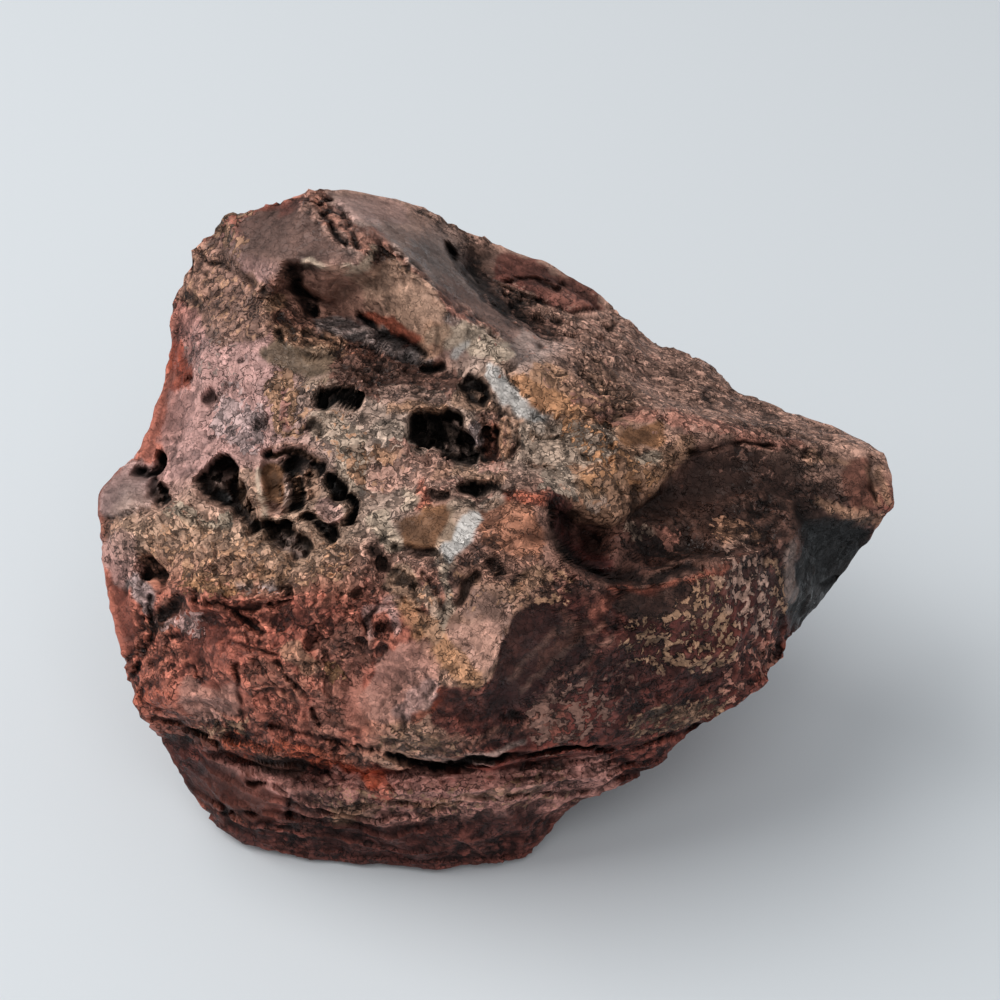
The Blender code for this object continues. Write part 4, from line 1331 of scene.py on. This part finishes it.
    "front_ridge": (3, "chocolate", 0.8, ((604, 622), (560, 646), (540, 660))),
    "front_knob": (8, "russet", 0.7, ((590, 606), (604, 600))),
    "front_grey": (22, "chestnut", 0.5, ((590, 705), (548, 726))),
    "scoop_flecks": (26, "chocolate", 0.2, ((600, 525), (690, 525), (790, 520))),
    "scoop_flecks_up": (22, "chocolate", 0.2, ((640, 490), (740, 475), (800, 480))),
    "slab_flecks": (50, "nutmeg", 0.3, ((540, 330), (640, 370), (780, 430))),
    "shelf_flecks": (16, "crust", 0.35, ((330, 800), (420, 805), (560, 785))),
    "front_flecks": (20, "chestnut", 0.3, ((600, 690), (625, 680), (660, 660))),
    "crust_top": (26, "dust", 0.48, ((700, 620), (745, 590), (775, 590))),
    "crust_mid": (24, "dust", 0.44, ((650, 640), (720, 645))),
    "crust_olive": (14, "taupe", 0.45, ((760, 630), (740, 560))),
    "crust_rim": (12, "rose", 0.5, ((770, 655), (730, 690))),
    "band_gold": (20, "ochre", 0.35, ((300, 405), (340, 435), (372, 470))),
    "bed_ochre": (20, "ochre", 0.42, ((170, 545), (250, 562), (330, 566))),
    "crust_gold": (14, "orange", 0.45, ((600, 474), (640, 478), (572, 424))),
    "plateau_gold": (14, "ochre", 0.35, ((430, 585), (500, 590), (560, 592))),
    "front_red": (13, "maroon", 0.85, ((650, 692), (700, 700))),
    "front_edge": (7, "crust", 0.6, ((640, 728), (712, 706))),
    "end_plate": (13, "chocolate", 0.9, ((858, 466), (862, 498))),
    "end_rim": (2, "crust", 0.5, ((872, 466), (876, 500))),
    "end_foot": (5, "crust", 0.5, ((820, 508), (850, 512), (874, 514))),
    "tip": (3, "crust", 0.7, ((882, 472), (888, 500))),
    "jet": (32, "jet", 1.0, ((838, 548), (822, 590))),
    "jet_sliver": (3.5, "slate", 0.8, ((793, 545), (789, 575), (792, 598))),
}
BROKEN = (
    "cheek_top", "cheek_grey", "cheek_lilac", "sill_brown", "rose_band", "band_ochre", "crust_rose",
    "crust_low", "bed_gold", "bed_white", "bed_row", "face_bits", "face_orange", "crumbs", "beads",
    "rim_crumb", "rim_crumb2", "rim_crumb3", "front_grey", "crust_top", "crust_mid", "crust_olive",
    "crust_rim", "front_edge", "scoop_flecks", "scoop_flecks_up", "slab_flecks", "shelf_flecks",
    "front_flecks", "shoulder", "band_gold", "bed_ochre", "crust_gold", "plateau_gold",
)


# %% Lay the stains and the painted light over the regions
STAIN_EDGE = 3.0  # drawing units over which a stain fades
BROKEN_EDGE = 14.0  # the same for one that breaks up into flecks


def laid_over(under, colour, share):
    """The colours under a stain moved toward its colour by each point's share of it."""
    return under + (np.array(PALETTE[colour]) - under) * share[:, None]


blotch = many_noises(view, 3.0, 91, 4)
speckle = many_noises(bent, 0.9, 92, 2)
tone = carried({region: PALETTE[row[3]] for region, row in FINISH.items()})
flecks = tone
cover = np.zeros(len(view))
drawn = wobbled(to_drawing(view), 95, 0.8)
for name, (half_width, colour, strength, chain) in STAINS_AND_PAINTED_LIGHT.items():
    soft = BROKEN_EDGE if name in BROKEN else STAIN_EDGE
    share = stroked(drawn, half_width * (1.0 + 0.5 * blotch), chain, soft)
    share *= strength * shown
    if name in BROKEN:
        flecks = laid_over(flecks, colour, np.clip(3.0 * share, 0.0, 1.0))
        cover = np.maximum(cover, share)
    else:
        tone = laid_over(tone, colour, share)
        cover = cover * (1.0 - share)
print(f"{len(STAINS_AND_PAINTED_LIGHT)} stains over {len(FINISH)} regions")

# %% Inside the pits: painted shade, almost black by depth, with a few faces in their own colours and a few painted glints
INSIDE = {
    "roof_line": (1.3, "chestnut", 0.8, ((270, 449), (284, 443), (300, 444), (314, 450))),
    "roof_line2": (1.3, "crust", 0.7, ((274, 456), (288, 450), (302, 451), (318, 460))),
    "side_face": (10, "tan", 0.9, ((271, 474), (274, 498))),
    "side_foot": (6, "chestnut", 0.9, ((270, 508), (278, 510))),
    "side_edge": (1.8, "pale", 0.9, ((258, 470), (257, 486), (262, 502), (266, 518))),
    "pillar": (8, "fawn", 0.8, ((246, 476), (249, 500), (254, 512))),
    "blade": (2, "crust", 0.9, ((297, 476), (298, 502))),
    "blade_line": (1.5, "slate", 0.9, ((288, 484), (286, 506))),
    "blade_broad": (6, "fawn", 0.9, ((311, 476), (313, 494))),
    # Painted highlights: a light line and a spot in the cave.
    "cave_glint_line": (1.5, "slate", 0.7, ((214, 474), (220, 488))),
    "cave_glint": (3, "steel", 0.9, ((221, 494), (227, 499))),
    "arm_line": (1.5, "slate", 0.8, ((236, 504), (246, 516), (254, 528))),
    # Painted highlights: two light lines in the lower pit.
    "lower_glint": (2.0, "slate", 0.6, ((280, 535), (292, 541), (302, 550))),
    "lower_glint2": (1.5, "slate", 0.6, ((276, 545), (292, 551), (300, 556))),
    "knob": (9, "pink", 0.8, ((325, 508), (333, 515))),
    # Painted highlight: a spot in the right void.
    "void_glint": (3, "steel", 0.8, ((333, 486), (337, 491))),
    "great_back": (10, "chocolate", 0.9, ((490, 432), (496, 452))),
    "great_crystal": (5, "lilac", 0.9, ((474, 428), (478, 440))),
    # Painted highlights: two light lines in the great pit.
    "great_glint": (1.8, "slate", 0.6, ((455, 424), (464, 430), (468, 438))),
    "great_glint2": (1.8, "slate", 0.5, ((448, 446), (458, 452), (466, 450))),
    "rib": (1.5, "crust", 0.9, ((503, 420), (500, 440), (504, 458))),
    "rib2": (1.5, "crust", 0.9, ((509, 420), (509, 440), (507, 458))),
}
INSIDE_EDGE = 2.0  # drawing units
PIT_PAINTED_SHADE = 0.96  # painted shade: how far a deep pit's skin goes toward black
DARK_DEPTH = 1.7  # mm at which a pit is that dark

# Painted shade: the deeper a point lies in a pit, the nearer black its skin is painted.
tone = laid_over(tone, "jet", PIT_PAINTED_SHADE * np.clip(sunk / DARK_DEPTH, 0.0, 1.0))
drawn = wobbled(to_drawing(view), 99, 0.15)
for half_width, colour, strength, chain in INSIDE.values():
    share = strength * shown * stroked(drawn, half_width, chain, INSIDE_EDGE)
    tone = laid_over(tone, colour, share)

# %% [markdown]
# ## Wear, painted light and painted shade
#
# Edges are rubbed a little paler.  Crests are also painted lighter, and hollows, pits and
# cracks darker, as light and shade fall on them: how far a point stands out from its
# surroundings, near to and farther off, tells which.  More strokes paint light or shade where
# a part should look more or less lit.  Clumps and specks of the stone's own add to that, and
# no colour passes that of the palest quartz.

# %% Rubbed edges, painted light on crests and painted shade in hollows
def standing_out(turns, full):
    """How far each point stands above the mean of its surroundings, -1 to 1 at full mm."""
    smooth = view
    for _ in range(turns):
        smooth = neighbour_mean(smooth)
    above = ((view - smooth) * normals_of(smooth)).sum(axis=1)
    return np.clip(above / full, -1.0, 1.0)


def dimmed(colour):
    """The colour, darkened where its strongest part would pass the palest stone."""
    return colour * np.minimum(1.0, PALEST / colour.max(axis=1))[:, None]


PALEST = 0.72  # the strongest part of the palest colour
USUAL_LIGHT = 1.25  # how much lighter the skin is than its region's colour
LIGHT_BOUNDS = (0.06, 4.0)
FLECK_BOUNDS = (0.5, 2.2)
RUBBED = 0.1  # how far a worn edge goes toward a paler colour
PAINTED_LIGHT_EDGE = 14.0  # drawing units

# Painted light and shade: strokes that make the skin lighter (times over 1) or darker (times under
# 1) where a part should look more or less lit than the lamps make it: half width, times, points.
PAINTED_LIGHT_AND_SHADE = {
    "bed": (28, 4.6, ((160, 540), (240, 560), (330, 575))),
    "olive_low": (16, 2.2, ((398, 590), (415, 600))),
    "orange": (12, 8.0, ((532, 386), (552, 402))),
    "strip": (8, 1.7, ((500, 380), (514, 402), (540, 424))),
    "quartz": (9, 1.3, ((470, 520), (458, 545))),
    "crust": (26, 3.2, ((540, 450), (590, 450))),
    "band": (24, 3.0, ((370, 470), (440, 470))),
    "slab": (36, 2.3, ((560, 335), (640, 372), (720, 412))),
    "slab_end": (20, 1.35, ((800, 430), (840, 445))),
    "shelf": (12, 2.5, ((350, 779), (400, 785), (500, 782))),
    "face": (28, 2.2, ((350, 685), (275, 680))),
    "front_low": (16, 2.0, ((545, 722), (590, 705))),
    "front_crust": (26, 1.7, ((690, 630), (720, 610))),
    "nose_top": (12, 0.6, ((455, 590), (490, 600))),
    "nose_orange": (8, 1.3, ((440, 640), (460, 668))),
    "yellow": (12, 4.5, ((610, 482), (670, 462))),
    "cheek": (16, 2.3, ((244, 396), (238, 420))),
    "dome": (10, 1.35, ((325, 240), (340, 252))),
    "scoop_deep": (12, 2.2, ((586, 530), (606, 542))),
    "scoop_middle": (12, 1.3, ((690, 508), (712, 512))),
    "side": (16, 0.8, ((566, 656), (580, 664))),
    "nose_pink": (8, 1.3, ((474, 636), (486, 644))),
    "knob": (8, 1.4, ((326, 508), (334, 514))),
    "tan_smooth": (8, 0.85, ((628, 432), (642, 434))),
    "slab_up": (16, 0.75, ((545, 280), (575, 300))),
    "slab_edge": (8, 0.85, ((690, 414), (712, 424))),
    "side_low": (12, 0.7, ((640, 696), (664, 704))),
    "scar": (14, 0.8, ((420, 250), (450, 280))),
    "hollow": (10, 1.6, ((344, 284), (356, 300))),
    "tan": (12, 0.8, ((424, 532), (440, 526))),
    "lobe": (18, 0.75, ((118, 505), (140, 486))),
    "foot_plate": (20, 0.5, ((215, 784), (245, 800))),
}

# Painted light and shade: crests are painted lighter and hollows darker, near to and farther off;
# specks, clumps and blotches add the stone's own uneven tone.
near = standing_out(3, 0.05)
broad = standing_out(16, 0.3)
mottling = 0.2 + 0.8 * np.clip(1.3 * grain, 0.0, 1.0)
broad *= 0.4 + 0.6 * shown
clumps = noise(bent, 1.8, 94)
painted_shade_and_mottle = near + 0.65 * broad + 0.6 * speckle + 0.6 * clumps
light = USUAL_LIGHT * np.exp(mottling * painted_shade_and_mottle + 0.4 * blotch)
# Painted shade: darker in pores and in cracks.
light *= 1.0 - 0.3 * np.clip(pored / 0.4, 0.0, 1.0)
light *= 1.0 - 0.65 * np.clip(cracked / 0.8, 0.0, 1.0)
light *= 1.0 + 3.0 * pores**2
drawn = wobbled(to_drawing(view), 103, 0.8)
# Paint the extra light and shade, stroke by stroke.
for half_width, times, chain in PAINTED_LIGHT_AND_SHADE.values():
    light *= 1.0 + (times - 1.0) * shown * stroked(drawn, half_width, chain, PAINTED_LIGHT_EDGE)
rubbed = RUBBED * np.clip(near + broad, 0.0, 1.0) * mottling
tone = laid_over(tone, "peach", rubbed * np.clip(tone[:, 0] / 0.15, 0.2, 1.0))
light = np.clip(light, *LIGHT_BOUNDS)[:, None]
tone = dimmed(tone * light)
flecks = dimmed(flecks * np.clip(light, *FLECK_BOUNDS))
cover = cover * (1.0 - inside_pit)
pores = pores + 0.35 * cover

# %% Gloss, from dull broken stone at 0 to a flake scar at 1
gloss = np.clip(gloss - 0.4 * inside_pit + 0.25 * blotch, 0.0, 1.0)

# %% [markdown]
# ## The piece
#
# The points, triangles and numbers become one mesh.  Seven sets of numbers travel with it,
# so that the material can read them: the skin's tone and the flecks' colour, both with
# their painted light and shade, how much the flecks cover, the gloss, the grain, the pores,
# and the strands along the slab.

# %% Build the mesh and give it its numbers
SHARP_EDGE_DEG = 48.0  # edges that turn more than this are drawn sharp

mesh = bpy.data.meshes.new("jasper_stone")
mesh.vertices.add(len(points))
mesh.loops.add(triangles.size)
mesh.polygons.add(len(triangles))
mesh.vertices.foreach_set("co", points.astype(np.float32).ravel())
mesh.polygons.foreach_set("loop_start", np.arange(0, triangles.size, 3, dtype=np.int32))
mesh.loops.foreach_set("vertex_index", triangles.astype(np.int32).ravel())
mesh.update(calc_edges=True)
mesh.shade_smooth()
mesh.set_sharp_from_angle(angle=math.radians(SHARP_EDGE_DEG))
for label, colours in {"tone": tone, "flecks": flecks}.items():
    layer = mesh.color_attributes.new(label, "FLOAT_COLOR", "POINT")
    layer.data.foreach_set("color", np.column_stack((colours, np.ones(len(tone)))).ravel())
grain = grain * (1.0 - 0.5 * inside_pit)
carry = {"gloss": gloss, "grain": grain, "pores": pores, "strands": strands, "cover": cover}
for label, numbers in carry.items():
    layer = mesh.attributes.new(label, "FLOAT", "POINT")
    layer.data.foreach_set("value", numbers.astype(np.float32))
stone = bpy.data.objects.new("jasper_stone", mesh)
bpy.context.scene.collection.objects.link(stone)
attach(stone, "root")
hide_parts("stone")

# %% [markdown]
# ## The material
#
# The mesh carries what is wider than a third of a millimetre.  The shader adds what is
# finer.  Flat crumbs of two sizes lie at odd angles and catch small glints.  Thin winding
# creases run between them where the skin is porous, and along the ropes on the slab.  Low
# crumbs and creases are painted darker and high crumbs paler, as painted shade and light.
# Flecks with crisp edges lie where a crust has half worn away.  Quartz has a refractive index
# of about 1.54.

# %% The slab's length on the stone
SLAB_LENGTH = tuple(np.array((math.cos(rope_turn), math.sin(rope_turn), 0.0)) @ view_axes())

# %% Small helpers for shader nodes
def outlet(tree, kind, inputs, result=0, **settings):
    """One outlet of a new node whose inputs are plain values or other nodes' outlets."""
    made = tree.nodes.new("ShaderNode" + kind)
    for name, value in settings.items():
        setattr(made, name, value)
    for name, value in inputs.items():
        if isinstance(value, bpy.types.NodeSocket):
            tree.links.new(value, made.inputs[name])
        else:
            made.inputs[name].default_value = value
    return made.outputs[result]


def mesh_value(tree, name, result="Fac"):
    """The numbers or colours of that name that the mesh carries."""
    return outlet(tree, "Attribute", {}, result, attribute_name=name)


def noisy(tree, place, scale, detail, roughness, result="Fac", **settings):
    """Noise whose largest swells are 1 / scale metres apart."""
    inputs = {"Vector": place, "Scale": scale, "Detail": detail, "Roughness": roughness}
    return outlet(tree, "TexNoise", inputs, result, **settings)


def ranged(tree, source, low, high, from_low=0.0, from_high=1.0):
    """The source's value carried from one range to another, and held at its ends."""
    inputs = {"Value": source, "From Min": from_low, "From Max": from_high}
    return outlet(tree, "MapRange", inputs | {"To Min": low, "To Max": high})


def arithmetic(tree, operation, *values):
    """A Math node's answer for the values in turn."""
    return outlet(tree, "Math", dict(enumerate(values)), operation=operation)


def vectors(tree, operation, inputs, result="Vector"):
    """A Vector Math node's answer."""
    return outlet(tree, "VectorMath", inputs, result, operation=operation)


def crumbs(tree, place, scale, slope):
    """Flat crumbs at odd angles: the height slope * g . (p - c), and the crumb's number.

    c is the nearest scattered point and g its random slope, as in facets.
    """
    cells = {"Vector": place, "Scale": scale}
    middle_of_crumb = outlet(tree, "TexVoronoi", cells, "Position")
    colour = middle_of_crumb.node.outputs["Color"]
    away = vectors(tree, "SUBTRACT", {0: place, 1: middle_of_crumb})
    spread = {0: colour, 1: (2.0 * slope,) * 3, 2: (-slope,) * 3}
    tilt = vectors(tree, "MULTIPLY_ADD", spread)
    height = vectors(tree, "DOT_PRODUCT", {0: away, 1: tilt}, "Value")
    return height, outlet(tree, "SeparateColor", {"Color": colour}, "Red")


def patchy(tree, place, scale, cover):
    """1 inside patches that hold about the cover's share of the skin, and a softer copy.

    A patch is where noise + 0.55 * cover is over 0.775.
    """
    grains = noisy(tree, place, scale, 3.0, 0.65)
    lifted = arithmetic(tree, "MULTIPLY_ADD", cover, 0.55, grains)
    crisp = ranged(tree, lifted, 0.0, 1.0, 0.755, 0.795)
    return crisp, ranged(tree, lifted, 0.0, 1.0, 0.74, 0.81)


def creased(tree, place, scale, share, number):
    """1 in winding creases where |noise - 0.5| < (0.02 to 0.18) * share, and a softer copy.

    Every crumb has a width of its own, from its number, so a crease breaks at its edges.
    """
    grains = noisy(tree, place, scale, 2.5, 0.55)
    off = arithmetic(tree, "ABSOLUTE", arithmetic(tree, "SUBTRACT", grains, 0.5))
    half = arithmetic(tree, "MULTIPLY", share, ranged(tree, number, 0.02, 0.18))
    over = arithmetic(tree, "SUBTRACT", half, off)
    crisp = ranged(tree, over, 0.0, 1.0, 0.0, 0.012)
    return crisp, ranged(tree, over, 0.0, 1.0, -0.01, 0.03)


def blended(tree, kind, factor, first, second):
    """Two colours blended by a factor."""
    inputs = {"Factor": factor, "A": first, "B": second}
    return outlet(tree, "Mix", inputs, "Result", data_type="RGBA", blend_type=kind)


# %% The stone's material: how many in a metre, then sizes in metres
QUARTZ_INDEX = 1.54
LARGE_CRUMBS = 1000.0
SMALL_CRUMBS = 2300.0
WRINKLES = 1700.0
PORE_CREASES = 1300.0
ROPE_CREASES = 1500.0
FLECK_PATCHES = 1300.0
BENDS = 2200.0
BEND_REACH = 0.0006  # m
CREST_HEIGHT = 0.00014  # m, above and below the middle
CREASE_DEPTH = 0.00018  # m
FLECK_HEIGHT = 0.00005  # m
SHADE_HEIGHTS = (-0.00024, 0.0002)  # m: heights of the most shaded grooves and the most lit crests, for painted shade and light
SHADE_TIMES = (0.35, 1.55)  # how dark and how pale the skin is there
ROPE_CREASE = -0.8  # how much a crease is drawn out along the slab, as a share of its length


def drawn_out(tree, place):
    """The place with less of its length along the slab: p + ROPE_CREASE * (p . d) * d."""
    along = vectors(tree, "DOT_PRODUCT", {0: place, 1: SLAB_LENGTH}, "Value")
    less = arithmetic(tree, "MULTIPLY", along, ROPE_CREASE)
    shift = vectors(tree, "SCALE", {0: SLAB_LENGTH, "Scale": less})
    return vectors(tree, "ADD", {0: place, 1: shift})


def jasper_material():
    """Base colour tone * mottle * painted shade and light, roughness from gloss, and bumps whose
    height follows grain.
    """
    material = bpy.data.materials.new("jasper")
    material.use_nodes = True
    tree = material.node_tree
    shader = tree.nodes["Principled BSDF"]
    shader.inputs["IOR"].default_value = QUARTZ_INDEX
    shader.inputs["Specular IOR Level"].default_value = 0.2

    # Places are bent by noise, so that the crumbs' edges wander.
    place = outlet(tree, "TexCoord", {}, "Object")
    bending = noisy(tree, place, BENDS, 1.0, 0.5, "Color")
    place = vectors(tree, "MULTIPLY_ADD", {0: bending, 1: (BEND_REACH,) * 3, 2: place})
    large, large_number = crumbs(tree, place, LARGE_CRUMBS, 0.5)
    small, small_number = crumbs(tree, place, SMALL_CRUMBS, 0.7)
    wrinkle = noisy(tree, place, WRINKLES, 2.5, 0.55, noise_type="RIDGED_MULTIFRACTAL")
    crest = ranged(tree, wrinkle, -CREST_HEIGHT, CREST_HEIGHT, 0.3, 2.0)
    height = arithmetic(tree, "ADD", arithmetic(tree, "ADD", large, small), crest)
    amount = ranged(tree, mesh_value(tree, "grain"), 0.15, 1.0, 0.0, 1.1)
    height = arithmetic(tree, "MULTIPLY", height, amount)

    # Creases are winding pores, and on the slab they run along its ropes.
    pores = mesh_value(tree, "pores")
    pore, soft_pore = creased(tree, place, PORE_CREASES, pores, large_number)
    strands = mesh_value(tree, "strands")
    long_place = drawn_out(tree, place)
    strand, soft_strand = creased(tree, long_place, ROPE_CREASES, strands, small_number)
    pore = arithmetic(tree, "MAXIMUM", pore, strand)
    soft_pore = arithmetic(tree, "MAXIMUM", soft_pore, soft_strand)

    # Painted shade and light: a crumb that stands higher is paler and a lower one darker, and
    # creases are dark; each crumb also has a tone of its own.
    crumb_shade_and_tone = ranged(tree, height, *SHADE_TIMES, *SHADE_HEIGHTS)
    crumb_shade_and_tone = arithmetic(tree, "MULTIPLY", crumb_shade_and_tone, ranged(tree, small_number, 0.88, 1.1))
    crumb_shade_and_tone = arithmetic(tree, "MULTIPLY", crumb_shade_and_tone, ranged(tree, pore, 1.0, 0.35))
    fleck, soft_fleck = patchy(tree, place, FLECK_PATCHES, mesh_value(tree, "cover"))
    tone = mesh_value(tree, "tone", "Color")
    skin = blended(tree, "MIX", fleck, tone, mesh_value(tree, "flecks", "Color"))
    tree.links.new(blended(tree, "MULTIPLY", 1.0, skin, crumb_shade_and_tone), shader.inputs["Base Color"])

    # Some crumbs are clean glassy quartz and glint; the rest are dull.
    dull = ranged(tree, mesh_value(tree, "gloss"), 0.72, 0.36)
    roughness = arithmetic(tree, "ADD", dull, ranged(tree, large_number, 0.2, -0.2))
    tree.links.new(roughness, shader.inputs["Roughness"])

    raised = arithmetic(tree, "ADD", height, ranged(tree, soft_fleck, 0.0, FLECK_HEIGHT))
    raised = arithmetic(tree, "ADD", raised, ranged(tree, soft_pore, 0.0, -CREASE_DEPTH))
    bumps = {"Strength": 1.0, "Distance": 1.0, "Height": raised}
    tree.links.new(outlet(tree, "Bump", bumps, "Normal"), shader.inputs["Normal"])
    for number, made in enumerate(tree.nodes):
        made.location = (200 * (number // 6) - 1800, -300 * (number % 6))
    return material


mesh.materials.append(jasper_material())

# %% [markdown]
# ## Floor, light and camera
#
# The stone stands on a plain pale floor.  A broad soft lamp stands above it on the left,
# as a window would, and a weaker one in front, as a pale room would.  The sky fills the
# shade.  The camera is the drawing's eye.

# %% The floor
FLOOR_SIZE = 2.4  # m
FLOOR_COLOUR = (0.74, 0.79, 0.83, 1.0)


def floor_material():
    """Plain pale matt floor."""
    material = bpy.data.materials.new("floor")
    material.use_nodes = True
    shader = material.node_tree.nodes["Principled BSDF"]
    shader.inputs["Base Color"].default_value = FLOOR_COLOUR
    shader.inputs["Roughness"].default_value = 0.8
    return material


bpy.ops.mesh.primitive_plane_add(size=FLOOR_SIZE, location=(0.0, 0.0, 0.0))
floor = bpy.context.object
floor.name = "floor"
floor.data.materials.append(floor_material())
floor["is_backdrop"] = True


# %% The lamps
LAMP_COLOUR = (1.0, 0.98, 0.96)
STONE_MIDDLE = Vector((0.0, 0.0, 0.02))  # m, where the lamps look


def lamp(name, toward, distance, size, power):
    """A square soft lamp that looks at the stone from the given direction."""
    light = bpy.data.lights.new(name, "AREA")
    light.size = size
    light.energy = power
    light.color = LAMP_COLOUR
    holder = bpy.data.objects.new(name, light)
    bpy.context.scene.collection.objects.link(holder)
    away = Vector(toward).normalized()
    holder.location = away * distance + STONE_MIDDLE
    holder.rotation_euler = away.to_track_quat("Z", "Y").to_euler()
    return holder


lamp("window", toward=(-0.66, 0.05, 0.82), distance=0.6, size=0.5, power=2.7)
lamp("room", toward=(0.1, -0.8, 1.0), distance=0.9, size=0.6, power=1.8)

SKY_COLOUR = (0.95, 0.97, 1.0, 1.0)
SKY_STRENGTH = 0.34

world = bpy.data.worlds.new("sky")
world.use_nodes = True
sky = world.node_tree.nodes["Background"]
sky.inputs["Color"].default_value = SKY_COLOUR
sky.inputs["Strength"].default_value = SKY_STRENGTH
bpy.context.scene.world = world

# %% The camera stands at the drawing's eye
SENSOR = 36.0  # mm
PICTURE_UNITS = 1000.0  # the picture is as wide as this many drawing units

camera_data = bpy.data.cameras.new("camera")
camera_data.sensor_width = SENSOR
camera_data.lens = SENSOR * EYE_DISTANCE * DRAWING_SCALE / PICTURE_UNITS
camera_data.clip_start = 0.01
camera = bpy.data.objects.new("camera", camera_data)
bpy.context.scene.collection.objects.link(camera)
eye = np.array((0.0, 0.0, EYE_DISTANCE)) @ view_axes()
camera.location = (eye - middle) * scale + cad_middle
camera.rotation_euler = (math.radians(90.0 - EYE_HEIGHT_DEG), 0.0, 0.0)
bpy.context.scene.camera = camera
bpy.context.scene.view_settings.view_transform = "Standard"
print(f"Lens {camera_data.lens:.0f} mm, {EYE_DISTANCE * scale * 1000:.0f} mm from the stone")

# %% The bounds of everything shown
low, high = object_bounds()
